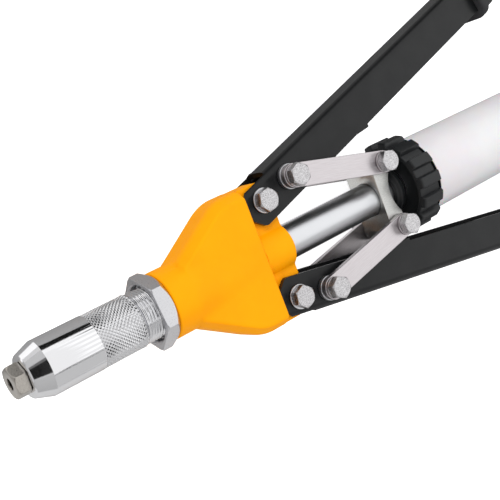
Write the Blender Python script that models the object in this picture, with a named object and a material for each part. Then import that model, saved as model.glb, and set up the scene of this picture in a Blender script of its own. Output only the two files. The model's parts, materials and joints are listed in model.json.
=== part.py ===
# Lever hand riveter, built from its separate pieces.
# The tool lies flat. Its axis runs along X from the nose to the mandrel bottle,
# the levers spread along Y, and Z is square to the plane that the levers swing in.
# Every piece is drawn with X = 0 at the front face of the nosepiece and Y = Z = 0 on
# the tool's axis. The last step stands the finished tool on Z = 0.

import math

import bmesh
import bpy
from mathutils import Matrix, Vector

MM = 0.001

# Clearances between separate pieces
FACE_GAP = 0.25 * MM      # between two flat faces that touch on the real tool
ROUND_GAP = 0.3 * MM      # all round, between a shaft or thread and its hole
SLIDE_GAP = 0.4 * MM      # all round, between the jaw case or pull tube and its bore
STROKE = 10.2 * MM        # how far the crosshead runs forward when the levers open
STROKE_SPARE = 0.8 * MM   # what is left in front of the jaw case then

# Cutters reach this far past what they cut
CUT_MARGIN = 1.0 * MM
CUT_REACH = 40.0 * MM
CUT_SKIN = 0.1 * MM

# Nosepiece
NOSE_AF = 13.0 * MM
NOSE_TURN = math.radians(8)
NOSE_LENGTH = 5.9 * MM
NOSE_HOLE_R = 2.6 * MM
NOSE_FACE_R = 5.8 * MM
NOSE_DOME_LENGTH = 2.0 * MM
NOSE_STEM_R = 4.9 * MM
NOSE_STEM_LENGTH = 8.1 * MM
NOSE_TIP_R = 4.2 * MM
NOSE_TIP_WALL = 0.9 * MM

# Nose sleeve: cone, smooth barrel, knurled barrel and the thread behind it
SLEEVE_R = 12.5 * MM
SLEEVE_FACE_R = 9.2 * MM
SLEEVE_EDGE_R = 9.8 * MM
SLEEVE_EDGE_LENGTH = 0.6 * MM
SLEEVE_CONE_LENGTH = 8.05 * MM
SMOOTH_LENGTH = 23.25 * MM
KNURL_LENGTH = 21.6 * MM
THREAD_R = 12.0 * MM
THREAD_LENGTH = 31.0 * MM

# Locknut
NUT_AF = 31.0 * MM
NUT_THICKNESS = 7.5 * MM
NUT_CHAMFER_LENGTH = 2.6 * MM
NUT_MOUTH_R = 12.9 * MM
THREAD_SHOWN = 6.4 * MM
NUT_TURN = math.radians(-8.6)

# Body casting
NECK_R = 16.0 * MM
NECK_LENGTH = 12.0 * MM
NECK_CHAMFER = 1.0 * MM
FLARE_LENGTH = 28.4 * MM
PLATE_LENGTH = 14.0 * MM
PLATE_HALF_WIDTH = 33.5 * MM
PLATE_HALF_THICKNESS = 12.0 * MM
BEVEL_WIDTH = 3.8 * MM
BEVEL_DEPTH = 5.0 * MM
SHOULDER_ROUND = 3.5 * MM
EDGE_ROUND = 1.0 * MM
DOME_LENGTH = 29.0 * MM
DOME_BLEND = 4.0 * MM
FLANK_BLEND = 1.0 * MM
EAR_LENGTH = 17.1 * MM
EAR_HALF_WIDTH = 33.2 * MM
EAR_HALF_THICKNESS = 6.1 * MM
EAR_CORNER_R = 6.0 * MM
BOSS_R = 11.5 * MM
PIVOT_BEHIND_STEP = 10.5 * MM
PIVOT_Y = 24.4 * MM

# Levers: u runs along the lever from its pivot, v runs outward, away from the tool's axis
UPPER_ANGLE = math.radians(17.2)
LOWER_ANGLE = math.radians(9.9)
SHEET = 2.5 * MM
WEB_V = 9.4 * MM
EDGE_V = -10.5 * MM
LEVER_END_R = 10.0 * MM
LEVER_LENGTH = 300.0 * MM
BEND_R = 4.0 * MM
NOTCH_SIDE_U = 7.3 * MM
NOTCH_MIDDLE_U = 9.6 * MM
LINK_HOLE_U = 17.5 * MM
LINK_HOLE_V = 0.15 * MM
PIN_PLAY = 1.2 * MM
WEB_START_U = -3.0 * MM
HEEL_EDGE_U = -5.8 * MM
HEEL_CORNER_U = -10.3 * MM
HEEL_CORNER_V = -4.6 * MM
NIB_U = 69.3 * MM
NIB_LENGTH = 7.0 * MM
NIB_HEIGHT = 1.4 * MM

# Grips
GRIP_LENGTH = 118.0 * MM
GRIP_WALL = 3.4 * MM
GRIP_END_WALL = 4.0 * MM
GRIP_CORNER_R = 7.5 * MM
GRIP_BEAD = 1.6 * MM
GRIP_BEAD_LENGTH = 5.0 * MM
GRIP_BEAD_SLOPE = 2.0 * MM
GRIP_EDGE = 1.2 * MM
GRIP_SWELL = 0.8 * MM
GRIP_END_ROUND = 3.0 * MM

# M6 fasteners
BOLT_R = 3.0 * MM
HEX_AF = 10.0 * MM
HEAD_HEIGHT = 4.0 * MM
HEAD_CHAMFER = 0.6 * MM
HEAD_TOP_R = 4.7 * MM
TIP_CHAMFER = 0.7 * MM
WASHER_R = 6.0 * MM
WASHER_THICKNESS = 1.0 * MM
LOCK_NUT_HEIGHT = 6.0 * MM
LOCK_NUT_HEX = 4.4 * MM
LOCK_NUT_COLLAR_R = 4.3 * MM
PIVOT_BOLT_LENGTH = 30.0 * MM
LINK_BOLT_LENGTH = 41.0 * MM

# Links
LINK_PITCH = 56.3 * MM
LINK_HALF_WIDTH = 5.8 * MM
LINK_THICKNESS = 3.0 * MM
SPACER_R = 6.2 * MM
SPACER_THICKNESS = 2.4 * MM

# Crosshead and pull tube
CROSS_PIN_Y = 16.9 * MM
CROSS_HALF_THICKNESS = 10.6 * MM
CROSS_WAIST = 6.8 * MM
CROSS_SCOOP_R = 18.0 * MM
CROSS_SCOOP_Y = 10.2 * MM
LUG_BOSS_R = 5.5 * MM
LUG_WRAP = 40
TUBE_R = 8.8 * MM
TUBE_BORE_R = 4.5 * MM
TUBE_STEM_R = 7.1 * MM
TUBE_STEM_LENGTH = 6.3 * MM
TUBE_BEHIND_PIN = 19.0 * MM

# Collector: hub, ribbed cap and bottle, placed behind the crosshead's pins
HUB_BEHIND_PIN = 4.7 * MM
HUB_LENGTH = 5.0 * MM
HUB_FACE_R = 11.5 * MM
HUB_R = 13.0 * MM
HUB_CHAMFER = 1.5 * MM
CAP_GAP = 0.5 * MM
CAP_R = 25.0 * MM
CAP_GROOVE_R = 22.4 * MM
CAP_FLANGE_R = 21.7 * MM
CAP_LENGTH = 16.5 * MM
CAP_FLANGE_LENGTH = 1.4 * MM
CAP_RUNOUT = 2.0 * MM
CAP_RIBS = 14
CAP_GROOVE_SHARE = 0.38
CAP_SLOPE_SHARE = 0.08
CAP_EDGE = 0.8 * MM
CAP_RECESS_R = 20.0 * MM
CAP_RECESS_DEPTH = 3.2 * MM
CAP_WEB = 3.4 * MM
BOTTLE_NECK_R = 18.2 * MM
BOTTLE_R = 20.8 * MM
BOTTLE_WALL = 1.6 * MM
BOTTLE_LENGTH = 103.0 * MM
BOTTLE_END_ROUND = 6.0 * MM
BOTTLE_EDGE = 0.8 * MM

# Jaw case and what it holds
CASE_FRONT = 26.0 * MM
CASE_R = 8.8 * MM
CASE_MOUTH_R = 4.8 * MM
CASE_BORE_R = 7.4 * MM
CASE_LIP = 0.6 * MM
CASE_CHAMFER = 1.0 * MM
JAW_LENGTH = 13.6 * MM
JAW_GRIP_R = 1.8 * MM
JAW_SPLIT = 0.6 * MM
PUSHER_LENGTH = 7.0 * MM
PUSHER_BORE_R = 2.6 * MM
SPRING_R = 5.7 * MM
SPRING_LENGTH = 7.6 * MM
SPRING_WIRE_R = 0.55 * MM
SPRING_TURNS = 4

# How finely the round pieces are faceted
FINE_SIDES = 40
MEDIUM_SIDES = 28
SMALL_SIDES = 16
HEX_SIDES = 12

# Places along the tool's axis
JAW_X = CASE_FRONT + CASE_LIP
NOSE_STEM_END = NOSE_LENGTH + NOSE_STEM_LENGTH
NOSE_TIP_END = JAW_X - STROKE - SLIDE_GAP
SLEEVE_WALL_END = CASE_FRONT - STROKE - STROKE_SPARE
SLEEVE_X = NOSE_LENGTH + FACE_GAP
BARREL_X = SLEEVE_X + SLEEVE_CONE_LENGTH
KNURL_X = BARREL_X + SMOOTH_LENGTH
THREAD_X = KNURL_X + KNURL_LENGTH
NUT_X = THREAD_X + THREAD_SHOWN
BODY_X = NUT_X + NUT_THICKNESS + FACE_GAP
FLARE_X = BODY_X + NECK_LENGTH
PLATE_X = FLARE_X + FLARE_LENGTH
STEP_X = PLATE_X + PLATE_LENGTH
BODY_END_X = STEP_X + EAR_LENGTH
PIVOT_X = STEP_X + PIVOT_BEHIND_STEP

# Heights of the stacked pieces, measured outward from the tool's middle plane
LEVER_INSIDE = EAR_HALF_THICKNESS + FACE_GAP
LEVER_OUTSIDE = LEVER_INSIDE + SHEET
SPACER_Z = LEVER_OUTSIDE + FACE_GAP
LINK_Z = SPACER_Z + SPACER_THICKNESS + FACE_GAP
LINK_WASHER_Z = LINK_Z + LINK_THICKNESS + FACE_GAP
CROSS_BOSS_Z = LINK_Z - FACE_GAP

BOLT_HOLE_R = BOLT_R + ROUND_GAP


def link_hole(angle):
    """Where a lever's link hole lies, as X and outward Y, with the lever at this angle."""
    x = PIVOT_X + LINK_HOLE_U * math.cos(angle) - LINK_HOLE_V * math.sin(angle)
    y = PIVOT_Y + LINK_HOLE_U * math.sin(angle) + LINK_HOLE_V * math.cos(angle)
    return x, y


def link_slope(angle):
    """The link's slope when its lever bolt is as far out as the lever's hole."""
    return math.asin((link_hole(angle)[1] - CROSS_PIN_Y) / LINK_PITCH)


# The lower links set the crosshead's place. The play in the lever's holes lets the upper
# lever stand further open, as it does on the real tool.
UPPER_SLOPE = link_slope(UPPER_ANGLE)
LOWER_SLOPE = link_slope(LOWER_ANGLE)
PIN_X = link_hole(LOWER_ANGLE)[0] + LINK_PITCH * math.cos(LOWER_SLOPE)
CROSS_X = PIN_X - LINK_HALF_WIDTH
TUBE_END_X = PIN_X + TUBE_BEHIND_PIN
HUB_X = PIN_X + HUB_BEHIND_PIN
CAP_X = HUB_X + HUB_LENGTH + CAP_GAP
CAP_END_X = CAP_X + CAP_LENGTH
WEB_X = CAP_X + CAP_RECESS_DEPTH
NECK_END_X = WEB_X + CAP_WEB + FACE_GAP
BOTTLE_X = CAP_END_X + FACE_GAP

# Inside the jaw case
PUSHER_X = JAW_X + JAW_LENGTH + FACE_GAP
SPRING_X = PUSHER_X + PUSHER_LENGTH + FACE_GAP
TUBE_X = SPRING_X + SPRING_LENGTH + FACE_GAP
CASE_END_X = TUBE_X + TUBE_STEM_LENGTH - FACE_GAP
CASE_CONE_END = CASE_FRONT + JAW_LENGTH

# Helpers

for old in list(bpy.data.objects):
    bpy.data.objects.remove(old, do_unlink=True)


def material(name, color, roughness, metallic):
    made = bpy.data.materials.new(name)
    made.use_nodes = True
    shader = made.node_tree.nodes["Principled BSDF"]
    shader.inputs["Base Color"].default_value = (*color, 1.0)
    shader.inputs["Roughness"].default_value = roughness
    shader.inputs["Metallic"].default_value = metallic
    made.diffuse_color = (*color, 1.0)
    return made


CHROME = material("chrome", (0.75, 0.76, 0.78), 0.12, 1.0)
NICKEL = material("satin_nickel", (0.56, 0.54, 0.51), 0.3, 1.0)
ZINC = material("zinc_plate", (0.72, 0.71, 0.71), 0.35, 1.0)
STEEL = material("machined_steel", (0.62, 0.62, 0.61), 0.35, 1.0)
HARD_STEEL = material("hardened_steel", (0.25, 0.25, 0.26), 0.4, 1.0)
YELLOW = material("yellow_paint", (1.0, 0.43, 0.01), 0.38, 0.0)
BLACK_PAINT = material("black_paint", (0.02, 0.022, 0.024), 0.42, 0.0)
BLACK_PLASTIC = material("black_plastic", (0.022, 0.024, 0.026), 0.5, 0.0)
WHITE_PLASTIC = material("white_plastic", (0.86, 0.84, 0.85), 0.35, 0.0)
RUBBER = material("black_rubber", (0.018, 0.018, 0.02), 0.75, 0.0)


def empty(name, place=(0.0, 0.0, 0.0), turn=0.0, parent=None):
    made = bpy.data.objects.new(name, None)
    bpy.context.collection.objects.link(made)
    made.empty_display_size = 20 * MM
    made.location = place
    made.rotation_euler = (0.0, 0.0, turn)
    made.parent = parent
    return made


def solid(name, shape, finish, parent, place=(0.0, 0.0, 0.0)):
    """Turns a bmesh into a named object with its faces pointing out."""
    bmesh.ops.recalc_face_normals(shape, faces=shape.faces[:])
    mesh = bpy.data.meshes.new(name)
    shape.to_mesh(mesh)
    shape.free()
    mesh.materials.append(finish)
    mesh.shade_smooth()
    mesh.set_sharp_from_angle(angle=math.radians(30))
    made = bpy.data.objects.new(name, mesh)
    bpy.context.collection.objects.link(made)
    made.location = place
    made.parent = parent
    return made


def tool(name, shape, parent, place=(0.0, 0.0, 0.0)):
    """A helper solid that only cuts or joins, and is not a piece of the riveter."""
    made = solid(name, shape, HARD_STEEL, parent, place)
    made.hide_render = True
    made.display_type = "WIRE"
    return made


def boolean(piece, helper, operation):
    step = piece.modifiers.new(operation.lower() + "_" + helper.name, "BOOLEAN")
    step.operation = operation
    step.object = helper
    step.solver = "EXACT"


def skin(shape, rings, closed):
    """Joins rings of points with quads; closed also joins the last ring to the first."""
    count = len(rings)
    for i in range(count if closed else count - 1):
        here = rings[i]
        there = rings[(i + 1) % count]
        for k in range(max(len(here), len(there))):
            corners = []
            for ring, step in ((here, k), (here, k + 1), (there, k + 1), (there, k)):
                corner = ring[step % len(ring)]
                if corner not in corners:
                    corners.append(corner)
            if len(corners) > 2:
                shape.faces.new(corners)


def turned(profile, sides, axis="X", turn=0.0, shape=None):
    """Turns a profile of (along, radius) points. A solid one starts and ends at radius 0."""
    shape = shape or bmesh.new()
    rings = []
    for along, radius in profile:
        ring = []
        for k in range(1 if radius == 0.0 else sides):
            angle = turn + 2 * math.pi * k / sides
            across = (radius * math.cos(angle), radius * math.sin(angle))
            point = (along, *across) if axis == "X" else (*across, along)
            ring.append(shape.verts.new(point))
        rings.append(ring)
    skin(shape, rings, closed=profile[0][1] != 0.0)
    return shape


def bar(radius, start, end, sides, axis="X", turn=0.0, shape=None):
    """A plain round or many-sided bar."""
    profile = ((start, 0.0), (start, radius), (end, radius), (end, 0.0))
    return turned(profile, sides, axis, turn, shape)


def ring(inside, outside, start, end, sides, axis="X"):
    profile = ((start, inside), (start, outside), (end, outside), (end, inside))
    return turned(profile, sides, axis)


def prism(outline, low, high):
    """Extrudes a plan outline of (x, y) points from one height to another."""
    shape = bmesh.new()
    bottom = [shape.verts.new((x, y, low)) for x, y in outline]
    top = [shape.verts.new((x, y, high)) for x, y in outline]
    shape.faces.new(bottom)
    shape.faces.new(top)
    skin(shape, [bottom, top], closed=False)
    return shape


def loft(sections):
    """Joins cross-sections, each a list of as many points, and caps both ends."""
    shape = bmesh.new()
    rings = [[shape.verts.new(point) for point in section] for section in sections]
    skin(shape, rings, closed=False)
    shape.faces.new(rings[0])
    shape.faces.new(rings[-1])
    return shape


def arc(center, radius, start, end, steps):
    """Points of an arc between two angles, given in degrees."""
    points = []
    for k in range(steps + 1):
        angle = math.radians(start + (end - start) * k / steps)
        x = center[0] + radius * math.cos(angle)
        y = center[1] + radius * math.sin(angle)
        points.append((x, y))
    return points


def hex_corner(across_flats):
    return across_flats / 2 / math.cos(math.pi / 6)


# Nose: nosepiece, sleeve and locknut

tool_axis = empty("tool_axis")


def make_nosepiece():
    """A hexagon with a domed front, and a stem whose tip opens the jaws."""
    corner = hex_corner(NOSE_AF)
    nosepiece = solid("nosepiece", bar(corner, 0.0, NOSE_LENGTH, 6, turn=NOSE_TURN), NICKEL, tool_axis)
    dome = [(-CUT_MARGIN, 0.0), (-CUT_MARGIN, NOSE_FACE_R - CUT_MARGIN), (0.0, NOSE_FACE_R)]
    for degrees in (30, 60, 90):
        angle = math.radians(degrees)
        rise = (corner + CUT_SKIN - NOSE_FACE_R) * math.sin(angle)
        dome.append((NOSE_DOME_LENGTH * (1 - math.cos(angle)), NOSE_FACE_R + rise))
    dome += [(NOSE_LENGTH + CUT_MARGIN, corner + CUT_SKIN), (NOSE_LENGTH + CUT_MARGIN, 0.0)]
    boolean(nosepiece, tool("nose_blank", turned(dome, SMALL_SIDES), tool_axis), "INTERSECT")
    stem = turned((
        (NOSE_LENGTH - CUT_MARGIN, 0.0),
        (NOSE_LENGTH - CUT_MARGIN, NOSE_STEM_R),
        (NOSE_STEM_END, NOSE_STEM_R),
        (NOSE_STEM_END, NOSE_TIP_R),
        (NOSE_TIP_END, NOSE_TIP_R),
        (NOSE_TIP_END, 0.0),
    ), SMALL_SIDES)
    boolean(nosepiece, tool("nose_stem", stem, tool_axis), "UNION")
    hole = turned((
        (-CUT_MARGIN, 0.0),
        (-CUT_MARGIN, NOSE_HOLE_R),
        (NOSE_LENGTH, NOSE_HOLE_R),
        (NOSE_TIP_END + CUT_MARGIN, NOSE_TIP_R - NOSE_TIP_WALL),
        (NOSE_TIP_END + CUT_MARGIN, 0.0),
    ), SMALL_SIDES)
    boolean(nosepiece, tool("mandrel_hole", hole, tool_axis), "DIFFERENCE")


def make_nose_sleeve():
    thread_end = THREAD_X + THREAD_LENGTH
    stem_bore = NOSE_STEM_R + ROUND_GAP
    case_bore = CASE_R + SLIDE_GAP
    edge_x = SLEEVE_X + SLEEVE_EDGE_LENGTH
    profile = (
        (SLEEVE_X, stem_bore),
        (SLEEVE_X, SLEEVE_FACE_R),
        (edge_x, SLEEVE_EDGE_R),
        (BARREL_X, SLEEVE_R),
        (THREAD_X, SLEEVE_R),
        (THREAD_X, THREAD_R),
        (thread_end, THREAD_R),
        (thread_end, case_bore),
        (SLEEVE_WALL_END, case_bore),
        (SLEEVE_WALL_END, stem_bore),
    )
    solid("nose_sleeve", turned(profile, FINE_SIDES), CHROME, tool_axis)


def make_locknut():
    corner = hex_corner(NUT_AF)
    back = NUT_X + NUT_THICKNESS
    hexagon = bar(corner, NUT_X, back, 6, turn=NUT_TURN)
    locknut = solid("locknut", hexagon, ZINC, tool_axis)
    chamfer_slope = (corner - NUT_AF / 2) / NUT_CHAMFER_LENGTH
    blank = turned((
        (NUT_X - CUT_MARGIN, 0.0),
        (NUT_X - CUT_MARGIN, corner + CUT_MARGIN),
        (back - NUT_CHAMFER_LENGTH, corner + CUT_SKIN),
        (back, NUT_AF / 2 + CUT_SKIN),
        (back + CUT_MARGIN, NUT_AF / 2 + CUT_SKIN - chamfer_slope * CUT_MARGIN),
        (back + CUT_MARGIN, 0.0),
    ), FINE_SIDES)
    boolean(locknut, tool("nut_blank", blank, tool_axis), "INTERSECT")
    bore = THREAD_R + ROUND_GAP
    mouth = NUT_MOUTH_R - bore
    hole = turned((
        (NUT_X - CUT_MARGIN, 0.0),
        (NUT_X - CUT_MARGIN, NUT_MOUTH_R + CUT_MARGIN),
        (NUT_X + mouth, bore),
        (back + CUT_MARGIN, bore),
        (back + CUT_MARGIN, 0.0),
    ), FINE_SIDES)
    boolean(locknut, tool("nut_bore", hole, tool_axis), "DIFFERENCE")


# Body casting: a round neck that flares into a bevelled plate, two ears and a boss

SECTION_POINTS = 48


def soft_min(a, b, blend):
    """The smaller of two lengths, rounded over where they are nearly equal."""
    near = max(blend - abs(a - b), 0.0)
    return min(a, b) - near * near / blend / 4


def soft_max(a, b, blend):
    return -soft_min(-a, -b, blend)


def plate_half_width(x):
    slope = (PLATE_HALF_WIDTH - NECK_R) / FLARE_LENGTH
    return soft_min(NECK_R + slope * (x - FLARE_X), PLATE_HALF_WIDTH, SHOULDER_ROUND)


def dome_radius(x):
    slope = (NECK_R - BOSS_R) / DOME_LENGTH
    return NECK_R - slope * max(x - FLARE_X, 0.0)


def body_radius(x, angle):
    """How far the casting's skin lies from the axis, at a place and in a direction."""
    side = abs(math.cos(angle))
    top = abs(math.sin(angle))
    width = plate_half_width(x)
    thickness = PLATE_HALF_THICKNESS
    nearly_none = 1e-6
    to_side = width / max(side, nearly_none)
    to_face = thickness / max(top, nearly_none)
    plate = soft_min(to_side, to_face, EDGE_ROUND)
    reach = (width - BEVEL_WIDTH) * BEVEL_DEPTH + thickness * BEVEL_WIDTH
    bevel = reach / (side * BEVEL_DEPTH + top * BEVEL_WIDTH)
    plate = soft_min(plate, bevel, EDGE_ROUND)
    blend = FLANK_BLEND + (DOME_BLEND - FLANK_BLEND) * top
    return soft_max(plate, dome_radius(x), blend)


def body_section(x):
    points = []
    flatness = PLATE_HALF_THICKNESS / max(plate_half_width(x), PLATE_HALF_THICKNESS)
    for k in range(SECTION_POINTS):
        t = 2 * math.pi * (k + 0.5) / SECTION_POINTS
        angle = math.atan2(flatness * math.sin(t), math.cos(t))
        radius = body_radius(x, angle)
        points.append((x, radius * math.cos(angle), radius * math.sin(angle)))
    return points


def make_body_casting():
    neck = [turned_ring(BODY_X, NECK_R - NECK_CHAMFER)]
    neck.append(turned_ring(BODY_X + NECK_CHAMFER, NECK_R))
    stations = 12
    length = STEP_X - FLARE_X
    flare = [body_section(FLARE_X + length * k / stations) for k in range(stations + 1)]
    body = solid("body_casting", loft(neck + flare), YELLOW, tool_axis)

    overlap = 2 * MM
    outline = [(STEP_X - overlap, -EAR_HALF_WIDTH)]
    inner = EAR_HALF_WIDTH - EAR_CORNER_R
    outline += arc((BODY_END_X - EAR_CORNER_R, -inner), EAR_CORNER_R, -90, 0, 5)
    outline += arc((BODY_END_X - EAR_CORNER_R, inner), EAR_CORNER_R, 0, 90, 5)
    outline += [(STEP_X - overlap, EAR_HALF_WIDTH)]
    ears = prism(outline, -EAR_HALF_THICKNESS, EAR_HALF_THICKNESS)
    boolean(body, tool("ear_slab", ears, tool_axis), "UNION")
    boss = bar(BOSS_R, STEP_X - overlap, BODY_END_X, FINE_SIDES)
    boolean(body, tool("tube_boss", boss, tool_axis), "UNION")

    thread_end = THREAD_X + THREAD_LENGTH + ROUND_GAP
    thread_bore = THREAD_R + ROUND_GAP
    tube_bore = TUBE_R + SLIDE_GAP
    bore = turned((
        (BODY_X - CUT_MARGIN, 0.0),
        (BODY_X - CUT_MARGIN, thread_bore),
        (thread_end, thread_bore),
        (thread_end, tube_bore),
        (BODY_END_X + CUT_MARGIN, tube_bore),
        (BODY_END_X + CUT_MARGIN, 0.0),
    ), FINE_SIDES)
    boolean(body, tool("body_bore", bore, tool_axis), "DIFFERENCE")
    for side in (1, -1):
        hole = bar(BOLT_HOLE_R, -CUT_REACH, CUT_REACH, SMALL_SIDES, "Z")
        cutter = tool("ear_hole", hole, tool_axis, (PIVOT_X, side * PIVOT_Y, 0.0))
        boolean(body, cutter, "DIFFERENCE")


def turned_ring(x, radius):
    """A round section with its points in the same directions as the flare's first one."""
    points = []
    for _, y, z in body_section(FLARE_X):
        scale = radius / math.hypot(y, z)
        points.append((x, y * scale, z * scale))
    return points


# Levers: pressed channels, open towards the tool's axis, each with a rubber grip

def channel_section(half_width, top, corner_r, steps):
    """The upper half of a channel's section, from its -Z edge over the web to its +Z edge."""
    low = EDGE_V - LEVER_END_R
    inner = half_width - corner_r
    points = [(low, -half_width)]
    points += [(y, -x) for x, y in arc((inner, top - corner_r), corner_r, 0, 90, steps)]
    points += [(y, x) for x, y in arc((inner, top - corner_r), corner_r, 90, 0, steps)]
    points += [(low, half_width)]
    return points


def lever_outline():
    """The lever's side outline in u and v: a rounded pivot end and a straight bar."""
    start = math.degrees(math.asin(WEB_V / LEVER_END_R))
    above = WEB_V + CUT_MARGIN
    outline = [(LEVER_LENGTH, above), (LEVER_LENGTH, EDGE_V)]
    nib_end = NIB_U + NIB_LENGTH
    outline += [(nib_end, EDGE_V), (nib_end - NIB_HEIGHT, EDGE_V - NIB_HEIGHT)]
    outline += [(NIB_U + NIB_HEIGHT, EDGE_V - NIB_HEIGHT), (NIB_U, EDGE_V)]
    outline += [(HEEL_EDGE_U, EDGE_V), (HEEL_CORNER_U, HEEL_CORNER_V)]
    outline += arc((0.0, 0.0), LEVER_END_R, 180, 180 - start, 6)
    outline += [(WEB_START_U, above)]
    return outline


def make_lever(name, side, angle):
    """side is 1 for the upper lever and -1 for the lower one, which is its mirror image."""
    pivot = empty(name + "_pivot", (PIVOT_X, side * PIVOT_Y, 0.0), side * angle, tool_axis)
    start = -2 * LEVER_END_R
    outside = channel_section(LEVER_OUTSIDE, WEB_V, BEND_R, 4)
    inside = channel_section(LEVER_INSIDE, WEB_V - SHEET, BEND_R - SHEET, 3)
    wall = outside + inside[::-1]
    ends = [[(u, side * v, z) for v, z in wall] for u in (start, LEVER_LENGTH + CUT_MARGIN)]
    lever = solid(name, loft(ends), BLACK_PAINT, pivot)

    outline = [(u, side * v) for u, v in lever_outline()]
    blank = tool(name + "_outline", prism(outline, -CUT_REACH, CUT_REACH), pivot)
    boolean(lever, blank, "INTERSECT")

    depth = NOTCH_MIDDLE_U - NOTCH_SIDE_U
    curve_r = (LEVER_INSIDE * LEVER_INSIDE + depth * depth) / (2 * depth)
    spread = math.degrees(math.asin(LEVER_INSIDE / curve_r))
    notch = [(start, -LEVER_INSIDE)]
    notch += arc((NOTCH_MIDDLE_U - curve_r, 0.0), curve_r, -spread, spread, 8)
    notch += [(start, LEVER_INSIDE)]
    low, high = sorted((side * (WEB_V - BEND_R - CUT_SKIN), side * (WEB_V + CUT_MARGIN)))
    shape = prism(notch, -high, -low)
    bmesh.ops.rotate(shape, verts=shape.verts[:], matrix=Matrix.Rotation(math.pi / 2, 3, "X"))
    boolean(lever, tool(name + "_notch", shape, pivot), "DIFFERENCE")

    pivot_hole = bar(BOLT_HOLE_R, -CUT_REACH, CUT_REACH, SMALL_SIDES, "Z")
    boolean(lever, tool(name + "_pivot_hole", pivot_hole, pivot), "DIFFERENCE")
    play_hole = bar(BOLT_HOLE_R + PIN_PLAY, -CUT_REACH, CUT_REACH, SMALL_SIDES, "Z")
    place = (LINK_HOLE_U, side * LINK_HOLE_V, 0.0)
    boolean(lever, tool(name + "_link_hole", play_hole, pivot, place), "DIFFERENCE")
    return pivot


def rounded_rectangle(half_v, half_z, corner_r, steps):
    points = []
    for quarter, (sv, sz) in enumerate(((1, 1), (-1, 1), (-1, -1), (1, -1))):
        center = (sv * (half_v - corner_r), sz * (half_z - corner_r))
        points += arc(center, corner_r, 90 * quarter, 90 * quarter + 90, steps)
    return points


def make_grip(name, side, pivot):
    half_v = (WEB_V - EDGE_V) / 2
    middle = (WEB_V + EDGE_V) / 2
    start = LEVER_LENGTH + GRIP_END_WALL - GRIP_LENGTH
    end = LEVER_LENGTH + GRIP_END_WALL

    def section(u, grow):
        corner = min(GRIP_CORNER_R, GRIP_CORNER_R + grow)
        wide = LEVER_OUTSIDE + GRIP_WALL + grow
        tall = half_v + GRIP_WALL + grow
        outline = rounded_rectangle(tall, wide, corner, 4)
        return [(u, side * (middle + v), z) for v, z in outline]

    sections = [
        section(start, GRIP_BEAD - GRIP_EDGE),
        section(start + GRIP_EDGE, GRIP_BEAD),
        section(start + GRIP_BEAD_LENGTH, GRIP_BEAD),
        section(start + GRIP_BEAD_LENGTH + GRIP_BEAD_SLOPE, 0.0),
        section((start + end) / 2, GRIP_SWELL),
    ]
    for degrees in (0, 30, 60, 90):
        angle = math.radians(degrees)
        along = end - GRIP_END_ROUND * (1 - math.sin(angle))
        sections.append(section(along, GRIP_END_ROUND * (math.cos(angle) - 1)))
    grip = solid(name, loft(sections), RUBBER, pivot)
    wide = LEVER_OUTSIDE + ROUND_GAP
    tall = half_v + ROUND_GAP
    pocket_end = LEVER_LENGTH + FACE_GAP
    pocket = []
    for u in (start - CUT_MARGIN, pocket_end):
        outline = rounded_rectangle(tall, wide, ROUND_GAP, 1)
        pocket.append([(u, side * (middle + v), z) for v, z in outline])
    boolean(grip, tool(name + "_pocket", loft(pocket), pivot), "DIFFERENCE")


# Fasteners

def hex_ring(shape, z, radius, limit):
    """A ring of points on a hexagon whose corners are cut back to a round limit."""
    points = []
    for k in range(HEX_SIDES):
        angle = 2 * math.pi * k / HEX_SIDES
        to_flat = (angle + math.pi / 6) % (math.pi / 3) - math.pi / 6
        reach = min(radius / math.cos(math.pi / 6 - abs(to_flat)), limit)
        points.append(shape.verts.new((reach * math.cos(angle), reach * math.sin(angle), z)))
    return points


def bolt_shape(head_z, length):
    """An M6 hexagon bolt, head up, with its chamfered tip down."""
    flat = HEX_AF / 2
    corner = hex_corner(HEX_AF)
    top = head_z + HEAD_HEIGHT
    tip = head_z - length
    shape = bmesh.new()
    rings = [
        [shape.verts.new((0.0, 0.0, tip))],
        hex_ring(shape, tip, BOLT_R, BOLT_R - TIP_CHAMFER),
        hex_ring(shape, tip + TIP_CHAMFER, BOLT_R, BOLT_R),
        hex_ring(shape, head_z, BOLT_R, BOLT_R),
        hex_ring(shape, head_z, flat, corner),
        hex_ring(shape, top - HEAD_CHAMFER, flat, corner),
        hex_ring(shape, top, flat, HEAD_TOP_R),
        [shape.verts.new((0.0, 0.0, top))],
    ]
    skin(shape, rings, closed=False)
    return shape


def nut_shape(top_z):
    """An M6 lock nut that hangs below top_z, with its round collar down."""
    flat = HEX_AF / 2
    corner = hex_corner(HEX_AF)
    bottom = top_z - LOCK_NUT_HEIGHT
    hex_bottom = top_z - LOCK_NUT_HEX
    collar = LOCK_NUT_COLLAR_R
    shape = bmesh.new()
    rings = [
        hex_ring(shape, top_z, BOLT_HOLE_R, BOLT_HOLE_R),
        hex_ring(shape, top_z, flat, corner),
        hex_ring(shape, hex_bottom, flat, corner),
        hex_ring(shape, hex_bottom, collar, collar),
        hex_ring(shape, bottom, collar, collar),
        hex_ring(shape, bottom, BOLT_HOLE_R, BOLT_HOLE_R),
    ]
    skin(shape, rings, closed=True)
    return shape


def bolt_stack(name, washer_z, length, place, parent):
    """A bolt, a washer under its head, another at the back and the lock nut behind it."""
    head_z = washer_z + WASHER_THICKNESS + FACE_GAP
    solid(name + "_bolt", bolt_shape(head_z, length), ZINC, parent, place)
    washer(name + "_washer_front", WASHER_R, washer_z, WASHER_THICKNESS, place, parent)
    back_z = -washer_z - WASHER_THICKNESS
    washer(name + "_washer_back", WASHER_R, back_z, WASHER_THICKNESS, place, parent)
    solid(name + "_nut", nut_shape(-head_z), ZINC, parent, place)


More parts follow.
